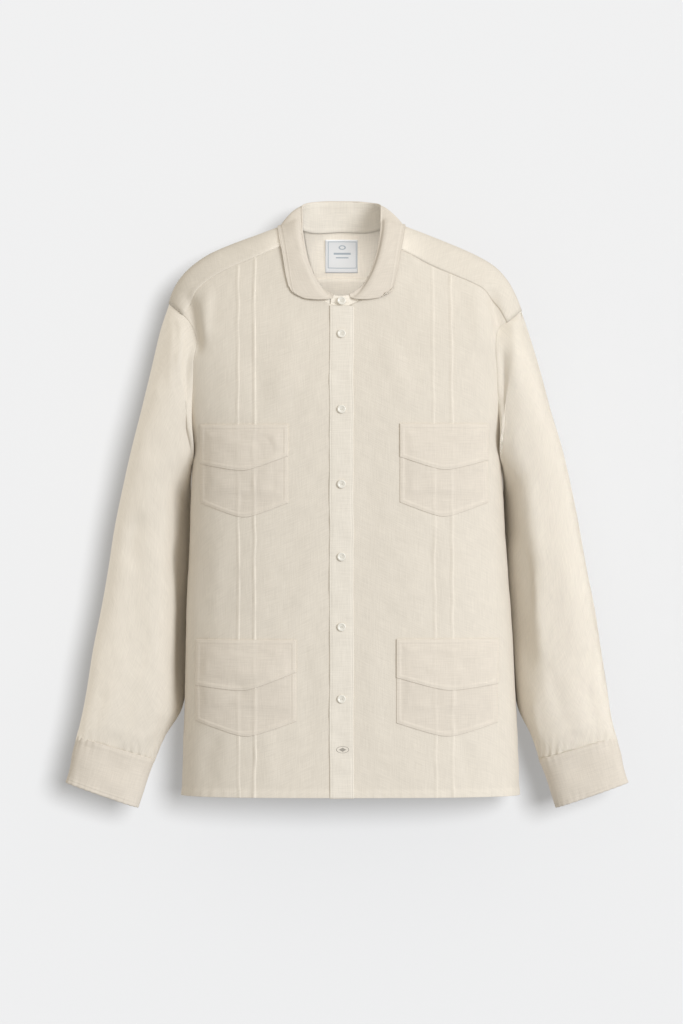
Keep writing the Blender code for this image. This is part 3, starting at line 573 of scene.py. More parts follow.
def back_grid():
    """Rows of the back from under the yoke to the hem, columns from the wearer's left to right."""
    turn = np.linspace(np.pi / 2, -np.pi / 2, 121)
    spacing = signed_power(np.sin(turn), 2.0 / BODY_CORNER)[None]
    number = np.linspace(0.0, 5.0, 48)
    ends = {}
    for side in (-1, 1):
        corner_across, corner_height = back_corner(side)
        rows = np.concatenate([[corner_height], BACK_ROWS["side"][1:]])
        outer = np.concatenate([smooth(np.arange(6.0), rows)(number), LOWER_HEIGHTS])[:, None]
        ends[side] = (np.where(outer > UNDERARM, armhole(side, outer, 1),
                               side * side_half(side, outer)), outer)
    middle = smooth(np.arange(6.0), BACK_ROWS["middle"])(number)
    middle = np.concatenate([middle, LOWER_HEIGHTS])[:, None]
    across = np.where(spacing > 0, spacing * ends[1][0], -spacing * ends[-1][0])
    outer = np.where(spacing > 0, ends[1][1], ends[-1][1])
    height = middle + (outer - middle) * np.abs(spacing) ** BACK_DIP
    return over_front(*tucked_under(across, height, hem_rise(across, height)), face=1)


back = sewn("back_panel", back_grid(), *SINGLE, "back")


# ---- Yoke ----
# One piece over both shoulders. Its edges are turned under and topstitched down on the fronts and
# the back, so it stands a little proud of them along a fine groove.

YOKE_RISE = 0.7


def neck_point(turn):
    """The neck seam on the unrolled shoulder. Turn 0 is the wearer's left shoulder, 90 the back,
    180 the right shoulder and -90 or 270 the front."""
    across = signed_power(np.cos(np.radians(turn)), 2.0 / NECK_CORNER)
    fall = signed_power(np.sin(np.radians(turn)), 2.0 / NECK_CORNER)
    return NECK_HALF * across, np.where(fall > 0.0, NECK_BACK, NECK_FRONT) * fall


def yoke_half(side):
    """Half of the yoke: rows from the neck out, columns from the front seam over the shoulder tip
    and along the back seam to the middle. Rows are straight on the unrolled shoulder, except that
    the first columns ease into the curve of the front seam."""
    seam = YOKE_SEAM[side]
    seam_height = smooth(seam["across"], seam["height"])
    rows = ARMHOLE[side]
    tip = rows["height"][0]
    corner_across, corner_height = back_corner(side)
    part = np.linspace(0.0, 1.0, 15)
    front_height = seam["height"][-1] + (tip - seam["height"][-1]) * part
    back_height = tip + (corner_height - tip) * part[1:]
    along_back = np.sin(np.linspace(np.pi / 2, 0.0, 46))[1:] ** (2.0 / BODY_CORNER)
    across = np.concatenate([armhole(side, front_height, -1), armhole(side, back_height, 1),
                             corner_across * along_back])
    height = np.concatenate([front_height, back_height,
                             back_seam_height(corner_across * along_back)])
    face = np.where(np.arange(len(across)) < len(part), -1, 1)
    outer = np.stack([across, fall_at(across, height, face)], axis=-1)
    turns = joined((-24.0, -2.0, 15), (-2.0, 12.0, 15), (12.0, 90.0, 46))
    neck_across, neck_fall = neck_point(turns)
    inner = np.stack([side * neck_across, neck_fall], axis=-1)
    share = np.linspace(0.0, 1.0, 60)[:, None]
    chart = inner[None] + (outer - inner)[None] * share[..., None]
    seam_across = seam["across"][0] + (seam["across"][-1] - seam["across"][0]) * share[:, 0]
    exact = np.stack([seam_across, fall_at(seam_across, seam_height(seam_across), -1)], axis=-1)
    ease_in = np.clip(1.0 - np.arange(chart.shape[1]) / 15.0, 0.0, 1.0) ** 2
    return chart + ease_in[None, :, None] * (exact - chart[:, 0])[:, None]


def from_edge(grid, edge):
    """Distance over the cloth from one edge of a grid, along the grid's own lines."""
    lines = grid if edge in ("first_row", "last_row") else np.swapaxes(grid, 0, 1)
    lines = lines[::-1] if edge.startswith("last") else lines
    steps = np.linalg.norm(np.diff(lines, axis=0), axis=-1)
    far = np.concatenate([np.zeros((1, steps.shape[1])), np.cumsum(steps, axis=0)])
    far = far[::-1] if edge.startswith("last") else far
    return far if edge in ("first_row", "last_row") else far.T


def turned_edge(distance, stitched=(1.8, 6.4), stand=0.3, depth=0.4):
    """The rise of a turned and topstitched edge: rounded off at the very edge, thicker over the
    turned allowance, with a narrow groove along each row of stitches."""
    rise = stand * ease((8.5 - distance) / 2.5) - 0.75 * (1.0 - ease(distance / 1.3))
    for row in stitched:
        rise = rise - depth * bell(distance - row, 0.75)
    return rise


def yoke_grid():
    """The whole yoke, its columns from the left front seam round the back to the right one."""
    chart = np.concatenate([yoke_half(1), yoke_half(-1)[:, -2::-1]], axis=1)
    plain = on_body(chart[..., 0], chart[..., 1])
    rise = YOKE_RISE + turned_edge(from_edge(plain, "first_column"), (1.8,))
    rise = rise + turned_edge(from_edge(plain, "last_column"), (1.8,))
    return on_cloth(chart[..., 0], chart[..., 1], rise)


yoke = sewn("yoke_panel", yoke_grid(), *SINGLE, "yoke")


# ---- Sleeves ----
# Long one-piece sleeves, set in below a dropped shoulder and gathered a little into the cuffs. The
# linen hangs in long soft folds, deepest beside the body, and breaks a little at the elbow.

SLEEVE = table(
    "outer_height outer_right outer_left inner_height inner_right inner_left half_depth back bow "
    "tuck",
    (-134, -242.5, 249.5, -312, -203.2, 217.6, 62, 3, 15, 0),
    (-187, -255.3, 266, -328, -204.2, 218.8, 65, 8, 9, 4),
    (-241, -268.7, 280.7, -346, -203, 218, 66, 14, 3, 12),
    (-295, -282, 296.5, -370, -202, 217, 65, 18, 0, 22),
    (-348, -294, 308.9, -402, -201, 217, 62, 19, 0, 28),
    (-402, -304.9, 319.6, -440, -200, 217, 59, 18, 0, 32),
    (-455, -312.9, 329, -482, -200, 219, 55, 15, 0, 34),
    (-509, -322.3, 339.7, -532, -201, 222, 51, 11, 0, 34),
    (-563, -333, 347.7, -585, -205, 227, 47, 5, 0, 30),
    (-616, -341, 355.8, -638, -213, 236, 42, -2, 0, 18),
    (-650, -347.2, 360.4, -678, -236, 254.5, 35, -7, 0, 6),
    (-684, -355.1, 368.2, -714.5, -252.7, 267.4, 24.5, -10, 0, 0))
RING_CORNER = 3.2            # how square a ring is on its outer half: 2 is an ellipse
RING_CORNER_INSIDE = 2.4     # and on the half next to the body
BESIDE = 1.2                 # least gap between a sleeve and the side of the body
SLEEVE_TURNS = np.linspace(0.0, 2.0 * np.pi, 100, endpoint=False)
SLEEVE_PLACES = joined((0.0, 1.0, 22), (1.0, 10.0, 100), (10.0, 12.0, 34))
SLEEVE_FOLDS_RIGHT = table(
    "x1 z1 x2 z2 bow near far rise",
    (-214, -112, -217, -190, 2, 5, 6, 4.5),
    (-228, -118, -236, -230, -4, 8, 8, -2.2),
    (-196, -150, -201, -320, 0, 20, 30, -7.0),
    (-203, -320, -206, -470, 3, 20, 30, -13.0),
    (-236, -300, -262, -400, -6, 16, 12, 3.0),
    (-262, -380, -276, -455, -10, 9, 13, -3.0),
    (-250, -350, -240, -640, -6, 16, 18, 4.5),
    (-282, -440, -300, -560, -6, 15, 12, 1.8),
    (-207, -430, -208, -640, 2, 14, 24, -11.0),
    (-262, -520, -276, -600, 6, 10, 10, -1.8),
    (-292, -560, -318, -660, 6, 15, 11, 1.6),
    (-270, -600, -292, -676, -5, 9, 9, -2.0),
    (-246, -630, -264, -690, 4, 7, 8, 2.0),
    (-318, -610, -332, -672, 3, 8, 8, -1.6))
SLEEVE_FOLDS_LEFT = table(
    "x1 z1 x2 z2 bow near far rise",
    (222, -112, 232, -210, 3, 7, 7, 2.0),
    (205, -150, 215, -320, 2, 30, 18, -6.0),
    (243, -150, 262, -300, 5, 14, 14, 2.2),
    (219, -320, 228, -430, -2, 26, 12, -6.0),
    (252, -330, 262, -440, -4, 11, 12, 2.4),
    (244, -430, 252, -520, 2, 7, 5, -4.0),
    (260, -470, 268, -580, -3, 7, 10, 3.0),
    (240, -410, 250, -590, -5, 14, 12, -5.5),
    (290, -420, 312, -560, 8, 16, 16, 1.8),
    (276, -560, 296, -660, -4, 9, 10, -2.0),
    (256, -620, 270, -690, -3, 7, 7, 2.0),
    (300, -590, 318, -680, 3, 9, 9, 1.8),
    (328, -600, 344, -676, -2, 9, 9, -1.8))
SLEEVE_FOLDS_BACK = table(
    "x1 z1 x2 z2 bow near far rise",
    (-228, -140, -250, -300, 6, 12, 12, -3.5),
    (-262, -220, -270, -420, -8, 14, 12, 3.4),
    (-240, -380, -290, -450, 8, 9, 10, -4.0),
    (-300, -400, -246, -480, -6, 9, 12, 3.0),
    (-290, -500, -318, -660, 6, 12, 12, -3.0),
    (-250, -520, -282, -680, -6, 12, 12, 3.0),
    (236, -140, 258, -300, -6, 12, 12, -3.5),
    (272, -220, 282, -410, 8, 12, 14, 3.2),
    (250, -370, 300, -446, -8, 10, 9, -4.0),
    (312, -410, 258, -486, 6, 12, 9, 3.0),
    (300, -500, 330, -660, -6, 12, 12, -2.8),
    (262, -520, 294, -680, 6, 12, 12, 3.0))


def beside_body(points, side):
    """Points of a sleeve, moved out sideways until they are clear of the side of the body form."""
    height = points[..., 2]
    half = side_half(side, height)
    depth = np.where(points[..., 1] < 0.0, front_depth(height), back_depth(height))
    part = np.clip(np.abs(points[..., 1]) / depth, 0.0, 1.0)
    least = half * (1.0 - part ** BODY_CORNER) ** (1.0 / BODY_CORNER) + BESIDE
    across = side * np.maximum(side * points[..., 0], least)
    return np.stack([across, points[..., 1], height], axis=-1)


def ring(side, row, turns):
    """A sleeve ring: turn 0 is its outer end, 90 its front and 180 the end next to the body. It is
    a squared-off circle on a sloping line, bowed towards the body across its front and back, with
    the end next to the body pushed back."""
    name = "right" if side < 0 else "left"
    outer = np.array([row["outer_" + name], 0.0, row["outer_height"]])
    inner = np.array([row["inner_" + name], 0.0, row["inner_height"]])
    corner = np.where(np.cos(turns) > 0.0, RING_CORNER, RING_CORNER_INSIDE)
    cosine = signed_power(np.cos(turns), 2.0 / corner)
    sine = signed_power(np.sin(turns), 2.0 / corner)
    points = 0.5 * (outer + inner) + 0.5 * (outer - inner) * cosine[:, None]
    points[:, 1] += row["back"] - row["half_depth"] * sine
    points[:, 0] -= side * row.get("bow", 0.0) * np.abs(sine)
    points[:, 1] += row.get("tuck", 0.0) * np.maximum(-cosine, 0.0) ** 2
    return points


def rows_of(rows):
    """Take a table apart into its rows."""
    return [dict(zip(rows, values)) for values in zip(*rows.values())]


def armhole_ring(side, turns):
    """The armhole seam, just under the edges of the body, at the same turns as the rings."""
    rows = ARMHOLE[side]
    top = rows["height"][0]
    height = 0.5 * (top + UNDERARM) + 0.5 * (top - UNDERARM) * np.cos(turns)
    front = np.sin(turns) > 1e-6
    before = over_front(armhole(side, height, -1), height, -0.5)
    behind = over_front(armhole(side, height, 1), height, -0.5, face=1)
    return np.where(front[:, None], before, behind)


def grid_outward(grid, around, side):
    """Unit vectors out of a grid's surface: the cross product of its two directions."""
    if around:
        across = np.roll(grid, -1, axis=1) - np.roll(grid, 1, axis=1)
    else:
        across = np.gradient(grid, axis=1)
    outward = np.cross(np.gradient(grid, axis=0), across) * side
    return outward / np.maximum(np.linalg.norm(outward, axis=-1, keepdims=True), 1e-9)


def puckers(along, distance, spacing, depth, reach, seed):
    """Small uneven ripples square to a seam: a wave along it whose spacing wanders and whose
    height changes, dying away with distance from the seam."""
    wander = 1.7 * drift(along, spacing * 2.3, seed)
    height = 0.55 + 0.45 * drift(along, spacing * 3.1, seed + 1)
    ripple = np.sin(2.0 * np.pi * along / spacing + wander)
    return depth * height * ripple * np.exp(-distance / reach)


def sleeve_grid(side):
    """Rings from the armhole seam into the cuff, joined by smooth curves down each turn, with the
    folds laid on and puckers above the cuff seam."""
    rings = [armhole_ring(side, SLEEVE_TURNS)]
    rings += [ring(side, row, SLEEVE_TURNS) for row in rows_of(SLEEVE)]
    grid = smooth(np.arange(13.0), np.array(rings))(SLEEVE_PLACES)
    outward = grid_outward(grid, True, -side)
    across, height = grid[..., 0], grid[..., 2]
    before = folds(across, height, SLEEVE_FOLDS_RIGHT if side < 0 else SLEEVE_FOLDS_LEFT)
    before = before + 0.7 * unevenness(across, height, 30.0, 51)
    before = before + 0.3 * unevenness(across, height, 12.0, 52)
    behind = folds(across, height, SLEEVE_FOLDS_BACK) + 0.9 * unevenness(across, height, 32.0, 53)
    facing = -outward[..., 1]
    start = ease(SLEEVE_PLACES / 0.45)[:, None]
    end = ease((12.0 - SLEEVE_PLACES) / 1.2)[:, None]
    rise = ease(facing / 0.5) * before + ease(-facing / 0.5) * behind
    rise = rise * start * (0.25 + 0.75 * end)
    along = np.cumsum(np.linalg.norm(np.diff(grid, axis=1, prepend=grid[:, -1:]), axis=-1), axis=1)
    to_cuff = from_edge(grid, "last_row") - 10.0
    rise = rise + puckers(along, np.maximum(to_cuff, 0.0), 10.0, 1.7, 13.0, 60)
    grid = grid + rise[..., None] * outward
    clear = beside_body(grid, side)
    beside = ease((10.9 - SLEEVE_PLACES) / 0.6)[:, None] * ease((UNDERARM - grid[..., 2]) / 50.0)
    return grid + (clear - grid) * beside[..., None]


sleeves = {}
for side_name, side in (("right", -1), ("left", 1)):
    sleeve = sewn(f"sleeve_{side_name}_linen", sleeve_grid(side), *SINGLE, "sleeve_" + side_name,
                  around=True, inside_out=side > 0)
    sleeves[side] = sleeve


# ---- Cuffs ----
# A doubled band 60 mm deep round each wrist, topstitched along both long edges. The stitches draw
# the linen into small puckers. Its ends lap behind the wrist under a button.

CUFF = table(
    "outer_height outer_right outer_left inner_height inner_right inner_left half_depth back",
    (-676.8, -353.4, 366.6, -707.6, -250.6, 265.0, 27.2, -10),
    (-710, -361.6, 375.6, -742, -261.4, 276.4, 26, -11.5),
    (-739.3, -368.8, 383.5, -773.2, -271.9, 286.6, 24.5, -13))
CUFF_LAP = 14.0              # degrees by which the outer end laps over the inner one


def cuff_grid(side):
    """Rings of the cuff from its top edge to its bottom edge, from one end behind the wrist round
    to the other, which is carried a little further and stands clear of the first."""
    turns = 1.5 * np.pi + np.linspace(0.0, 2.0 * np.pi + np.radians(CUFF_LAP), 128)
    rings = np.array([ring(side, row, turns) for row in rows_of(CUFF)])
    places = joined((0.0, 0.3, 12), (0.3, 1.7, 16), (1.7, 2.0, 12))
    grid = smooth(np.arange(3.0), rings)(places)
    outward = grid_outward(grid, False, -side)
    along = np.concatenate([np.zeros((len(places), 1)), np.cumsum(
        np.linalg.norm(np.diff(grid, axis=1), axis=-1), axis=1)], axis=1)
    from_top, from_hem = from_edge(grid, "first_row"), from_edge(grid, "last_row")
    rise = turned_edge(from_top, (2.2,)) + turned_edge(from_hem, (4.5,))
    rise = rise + puckers(along, from_top, 10.0, 1.0, 11.0, 70)
    rise = rise + puckers(along, from_hem, 9.0, 0.9, 8.0, 73)
    rise = rise + 1.4 * unevenness(along, from_top, 24.0, 75)
    grid[..., 2] -= puckers(along, from_hem, 9.0, 0.45, 5.0, 77)
    rise = rise + 2.2 * ease((np.arange(128) - 112) / 12.0)[None]
    return grid + rise[..., None] * outward


for side_name, side in (("right", -1), ("left", 1)):
    cuff = sewn(f"cuff_{side_name}_band", cuff_grid(side), *BAND, "cuff_" + side_name,
                inside_out=side > 0)


# ---- Placket and button stand ----
# The placket is a doubled strip 32 mm wide down the left front, stitched along both edges. The
# button stand is a second strip behind it, on the right front.

PLACKET_TOP = -104.5
PLACKET_RISE = 1.3
PLACKET_STEPS = [5, 9, 12, 12.6, 13.2, 13.8, 14.4, 15, 15.6, 16]
placket_across = np.array([-step for step in PLACKET_STEPS[::-1]] + [0.0] + PLACKET_STEPS)[None]
placket_heights = np.linspace(PLACKET_TOP, HEM - 0.8, 300)[:, None]
placket_drop = placket_heights + 0.0 * placket_across
placket_wander = 0.55 * drift(placket_heights, 40.0, 80)
placket_rise = PLACKET_RISE + turned_edge(16.0 - np.abs(placket_across), (2.4,), stand=0.1)
placket_rise = placket_rise + 0.5 * unevenness(placket_across, placket_drop, 17.0, 81)
placket_rise = placket_rise + 0.3 * bell(placket_drop - HEM - 5.0, 5.5)
placket_grid = over_front(placket_across + placket_wander, placket_drop, placket_rise)
placket = sewn("placket_strip", placket_grid, *DOUBLED, "placket")

stand_across = np.linspace(-15.5, 15.5, 7)[None]
stand_heights = np.linspace(PLACKET_TOP, HEM, 150)[:, None]
button_stand = sewn("button_stand_strip", over_front(stand_across, stand_heights, -1.7), *DOUBLED,
                    "button_stand")


# ---- Collar ----
# A doubled stand is sewn into the neck, its rounded ends lapped at the top button. The doubled
# leaf rolls over it and lies on the shoulders, its front corners rounded and its edge topstitched.

FOLD_HALF = 53.0             # half width of the collar's fold line
FOLD_SIDE = 30.0             # its height beside the neck
FOLD_BACK = 39.0             # its height behind the neck
FOLD_FRONT = -91.0           # its height at the front
FOLD_FRONT_REACH = 66.0
FOLD_BACK_REACH = 34.0
FOLD_SQUARE = 0.62           # how square the fold is behind the neck: 1 is an ellipse
FOLD_FRONT_SQUARE = 0.82     # and in front of it
LEAF_SAG = 9.5               # how far the leaf's front edge bulges down
FOLD_CLIMB = 0.8             # how early it climbs from the sides to the back
STAND_FOOT = table(          # the turn on the neck seam that lies under a turn on the fold
    "fold seam",
    (-108, -104), (-90, -90), (-70, -73), (-45, -40), (-20, -13), (0, 2), (25, 22), (50, 47),
    (90, 90))
LEAF_EDGE = table(           # the leaf's outer edge on the unrolled shoulder, from front to back
    "turn across fall",
    (-90, 59.5, -10.4), (-78, 66.5, -9.8), (-60, 73.8, -8.25), (-38, 79, -5.9), (-18, 83, -3.6),
    (0, 84.5, -1.2), (14, 83, 0.9), (32, 72, 3.3), (55, 49, 5.2), (75, 22, 5.9), (90, 0, 6.0))
LEAF_RISE = 6.5              # how far the leaf's roll stands above a straight line to its edge
LEAF_SPREAD = 3.5            # and how far it stands out
LEAF_KNEE = 0.35             # the roll turns down at this share of the way to the edge
LEAF_FULL_ROLL = 45.0        # a leaf shorter than this rolls less
STAND_TURNS = joined((-102, -60, 40), (-60, 240, 150), (240, 257.4, 20))
LEAF_TURNS = joined((-82, -66, 26), (-66, 246, 150), (246, 262, 26))
LEAF_SHARES = joined((0, 0.82, 26), (0.82, 1.0, 22))


def near_side(turn):
    """Turns of the wearer's right half, given as the turns of the left half they mirror."""
    return np.where(turn > 90.0, 180.0 - turn, turn)


def fold_point(turn):
    """The fold line between stand and leaf, round the neck as in neck_point: half an ellipse in
    front that drops as it goes forward, and a squarer one behind that climbs a little."""
    cosine = np.cos(np.radians(turn))
    sine = np.sin(np.radians(turn))
    front = sine < 0.0
    across = FOLD_HALF * np.where(front, signed_power(cosine, FOLD_FRONT_SQUARE),
                                  signed_power(cosine, FOLD_SQUARE))
    depth = np.where(front, FOLD_FRONT_REACH, FOLD_BACK_REACH) * sine
    height = np.where(front, FOLD_SIDE + (FOLD_SIDE - FOLD_FRONT) * sine,
                      FOLD_SIDE + (FOLD_BACK - FOLD_SIDE) * np.abs(sine) ** FOLD_CLIMB)
    return np.stack([across, depth, height], axis=-1)


def stand_grid():
    """The stand, straight lines from inside the neck seam to just inside the fold, with a groove
    where it is stitched above the seam and below the fold."""
    foot = smooth(STAND_FOOT["fold"], STAND_FOOT["seam"])(near_side(STAND_TURNS))
    foot = np.where(STAND_TURNS > 90.0, 180.0 - foot, foot)
    across, fall = neck_point(foot)
    inward = -np.stack([np.cos(np.radians(foot)), np.sin(np.radians(foot)), 0.0 * foot], axis=-1)
    seam = on_body(across, fall) + 0.6 * inward
    seam[:, 2] -= 1.5
    fold = fold_point(STAND_TURNS) + 0.3 * inward
    share = np.linspace(0.0, 1.0, 26)[:, None, None]
    grid = seam + (fold - seam) * share
    outward = grid_outward(grid, False, 1.0)
    rise = 0.45 * bell(from_edge(grid, "last_row") - 5.5, 0.9)
    rise = rise + 0.5 * bell(from_edge(grid, "first_row") - 3.5, 1.0)
    along = np.cumsum(np.linalg.norm(np.diff(grid[0], axis=0, prepend=grid[0, :1]), axis=-1))[None]
    rise = rise + 0.5 * unevenness(along + 0.0 * rise, from_edge(grid, "first_row"), 18.0, 90)
    return grid + rise[..., None] * outward


def kept_clear(points, clearance):
    """Move points out, square to the body form, until each stands off it by its clearance."""
    falls = np.linspace(-13.0, 9.0, 441)
    across = points[..., 0, None] + 0.0 * falls
    section = on_body(across, falls + 0.0 * across)
    nearest = np.argmin(np.linalg.norm(section - points[..., None, :], axis=-1), axis=-1)
    fall = falls[nearest]
    outward = body_outward(points[..., 0], fall)
    off = np.sum((points - on_body(points[..., 0], fall)) * outward, axis=-1)
    return points + np.maximum(clearance - off, 0.0)[..., None] * outward


def leaf_grid():
    """The leaf: from just inside the fold, over a small roll, then along a bent curve (a quadratic
    one through a raised knee) to its edge. Its front corners are rounded off."""
    turn = near_side(LEAF_TURNS)
    side = np.where(LEAF_TURNS > 90.0, -1.0, 1.0)
    across = side * smooth(LEAF_EDGE["turn"], LEAF_EDGE["across"])(turn)
    fall = smooth(LEAF_EDGE["turn"], LEAF_EDGE["fall"])(turn)
    edge = on_body(across, fall)
    spread = np.stack([np.cos(np.radians(LEAF_TURNS)), np.sin(np.radians(LEAF_TURNS)),
                       0.0 * LEAF_TURNS], axis=-1)
    fold = fold_point(LEAF_TURNS) + 1.2 * spread
    away = edge - fold
    reach = np.linalg.norm(away, axis=-1, keepdims=True)
    lift = LEAF_SPREAD * spread + np.array([0.0, 0.0, LEAF_RISE])
    knee = fold + LEAF_KNEE * away + lift * np.clip(reach / LEAF_FULL_ROLL, 0.0, 1.0)
    end = 1.0 - 0.1 * np.clip(1.0 - (turn + 82.0) / 9.0, 0.0, 1.0) ** 2
    share = LEAF_SHARES[:, None, None] * end[:, None]
    leaf = (1 - share) ** 2 * fold + 2 * share * (1 - share) * knee + share ** 2 * edge
    bulge = np.sin(np.pi * LEAF_SHARES)[:, None].clip(0.0, 1.0) ** 0.45
    bulge = bulge * ease((-48.0 - turn) / 34.0)
    leaf[..., 2] -= LEAF_SAG * bulge
    clearance = smooth([0, 0.12, 0.3, 0.55, 1.0], [-2.5, 2.2, 3.6, 3.4, 2.6])(LEAF_SHARES)
    leaf = kept_clear(leaf, clearance[:, None])
    turn_in = np.radians(np.array([200.0, 160.0, 120.0, 80.0, 45.0, 15.0]))[:, None, None]
    up = np.array([0.0, 0.0, 1.0])
    centre = leaf[0] - 1.1 * spread
    roll = centre + 1.1 * (np.cos(turn_in) * spread + np.sin(turn_in) * up)
    grid = np.concatenate([roll, leaf])
    outward = grid_outward(grid, False, -1.0)
    edges = np.minimum(from_edge(grid, "last_row"),
                       np.minimum(from_edge(grid, "first_column"), from_edge(grid, "last_column")))
    rise = turned_edge(edges, (2.0, 6.6), stand=0.15)
    rise = rise + 0.6 * unevenness(grid[..., 0], grid[..., 2], 20.0, 94)
    return grid + rise[..., None] * outward


stand = sewn("collar_stand_band", stand_grid(), *DOUBLED, "collar_stand", inside_out=True)
leaf = sewn("collar_leaf_fall", leaf_grid(), *BAND, "collar_leaf")


# ---- Pockets and flaps ----
# Four patch pockets with a flap each, both with shallow pointed lower edges. They are laid over
# the tucks, double stitched round their edges, and the tucks press through them.

POCKETS = table(
    "right left top corner point flap_side flap_other flap_point",
    (-187.5, -70.5, -262, -366, -385, -314, -304, -323),
    (77, 195, -261, -365, -384, -305, -309, -322),
    (-194, -60, -547, -655, -675, -608, -590, -614),
    (72.5, 209, -546, -657, -675, -597, -606, -614))
POCKET_NAMES = ("chest_right", "chest_left", "hip_right", "hip_left")
POCKET_RISE = 0.9
FLAP_RISE = 1.9
PUFF_DEEP = 104.0            # the puff ends this far below the top edge
TIP_ROUND = 0.22             # how round a patch's point is: 0 is sharp
EDGE_STEPS = np.array([0, 0.5, 1.1, 1.8, 2.5, 3.2, 4.4, 5.6, 6.4, 7.2, 8.4, 10.0])
POCKET_CREASES = table(
    "x1 z1 x2 z2 bow near far rise",
    (-150, -276, -84, -300, 6, 8, 10, -1),
    (-96, -276, -112, -322, 3, 9, 8, -1),
    (-176, -350, -130, -372, 4, 8, 9, -0.6),
    (-88, -310, -92, -350, 2, 7, 7, -0.7),
    (92, -280, 150, -288, 3, 8, 9, -0.5),
    (150, -335, 190, -318, -4, 10, 8, -0.7),
    (110, -350, 150, -356, 3, 9, 9, 0.5),
    (-182, -562, -90, -572, 10, 9, 9, -1.4),
    (-150, -590, -76, -584, -6, 10, 10, 1.2),
    (-190, -600, -120, -620, 5, 9, 9, -1.2),
    (-186, -648, -96, -656, 9, 9, 8, -1.7),
    (-96, -596, -70, -572, -3, 8, 9, -0.6),
    (150, -582, 202, -560, -5, 8, 10, -1.1),
    (84, -566, 150, -572, 4, 9, 8, -0.5),
    (88, -626, 128, -632, 3, 8, 8, -0.6),
    (150, -648, 196, -628, -4, 9, 9, -1.1))


def pocket_puff(across, height, right, left, top):
    """How far a pocket and its flap puff out together: a soft rise inside the stitches, with its
    creases and a gentle unevenness. It stays above the front everywhere."""
    edge = np.minimum(np.minimum(across - right, left - across), top - height)
    edge = np.minimum(edge, height - top + PUFF_DEEP)
    puff = 1.1 + folds(across, height, POCKET_CREASES) + 0.45 * unevenness(across, height, 15.0, 97)
    return np.maximum(puff, 0.0) * ease((edge - 6.0) / 12.0)


def patch_grid(right, left, top, low_right, low_left, low_point, rise, pressed):
    """A patch with a shallow point, on the front with its tucks. Rows and columns crowd together
    near its edges, so that the turned edge and its two rows of stitches have their own shape."""
    middle = 0.5 * (right + left)
    inner = np.linspace(right + 13.0, left - 13.0, 58)
    across = np.concatenate([right + EDGE_STEPS, inner, (left - EDGE_STEPS)[::-1]])
    part = (across - right) / (left - right)
    sides = low_right + (low_left - low_right) * part
    aside = (across - middle) / (0.5 * (left - right))
    point = np.sqrt(1.0 + TIP_ROUND ** 2) - np.sqrt(aside ** 2 + TIP_ROUND ** 2)
    point = point / (np.sqrt(1.0 + TIP_ROUND ** 2) - TIP_ROUND)
    low = sides + (low_point - 0.5 * (low_right + low_left)) * point
    deep = (top - low)[None]
    far = np.concatenate([EDGE_STEPS[:, None] + 0.0 * deep,
                          13.0 + (deep - 26.0) * np.linspace(0, 1, 44)[:, None],
                          deep - EDGE_STEPS[::-1, None]])
    height = top - far
    across = np.broadcast_to(across, height.shape)
    sideways = np.minimum(across - right, left - across)
    bottom = far[-1:] - far
    edge = np.minimum(np.minimum(sideways, bottom), far)
    wander = 0.35 * unevenness(across + height, across - height, 14.0, int(abs(right)))
    lift = turned_edge(edge + wander * bell(edge, 5.0))
    lift = lift + pocket_puff(across, height, right, left, top)
    tucks = tuck_rise(across, height) * pressed
    layers = np.maximum(0.45 * ease((8.6 - edge) / 1.2), np.clip(tucks, 0.0, 1.0))
    return over_front(across, height, rise + lift + tucks), layers


for name, right, left, top, corner, point, flap_side, flap_other, flap_point in zip(
        POCKET_NAMES, *[POCKETS[key] for key in POCKETS]):
    side_name = "front_right_panel" if right < 0 else "front_left_panel"
    grid, layers = patch_grid(right, left, top, corner, corner, point, POCKET_RISE, 0.75)
    pocket = sewn(f"pocket_{name}_patch", grid, *PATCH, "pocket_" + name, layers=layers)
    grid, layers = patch_grid(right, left, top, flap_side, flap_other, flap_point, FLAP_RISE, 0.2)
    flap = sewn(f"flap_{name}_patch", grid, *PATCH, "flap_" + name, layers=0.3 + 0.5 * layers)


# ---- Buttons ----
# Pearly white moulded buttons 11.4 mm wide with a rim, a dished middle and four holes. Seven close
# the placket and the collar stand, and one closes each cuff behind the wrist.

BUTTONS = (-98, -142, -242, -341, -437, -530, -625)
BUTTON_PROFILE = table(      # radius and height of the button's outline, from the middle of its top
    "radius height",
    (0.01, 1.35), (1.0, 1.35), (2.4, 1.4), (3.0, 1.55), (3.5, 1.9), (4.0, 2.15), (4.6, 2.25),
    (5.2, 2.1), (5.6, 1.7), (5.7, 1.2), (5.6, 0.6), (5.2, 0.2), (4.6, 0.02), (0.01, 0.0))
HOLE_OUT = 1.25
HOLE_HALF = 0.5


def closed(name, grid, finish):
    """Make a piece from rows of closed rings whose first and last rows shrink to a point."""
    rows, columns = grid.shape[:2]
    numbers = np.arange(rows * columns).reshape(rows, columns)
    numbers = np.concatenate([numbers, numbers[:, :1]], axis=1)
    ends = [numbers[0, :-1][::-1].tolist(), numbers[-1, :-1].tolist()]
    mesh = bpy.data.meshes.new(name)
    mesh.from_pydata((grid.reshape(-1, 3) * MM).tolist(), [],
                     quads(numbers).reshape(-1, 4).tolist() + ends)
    mesh.shade_smooth()
    mesh.materials.append(finish)
    piece = placed(name, mesh)
    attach(piece, "root")
    return piece


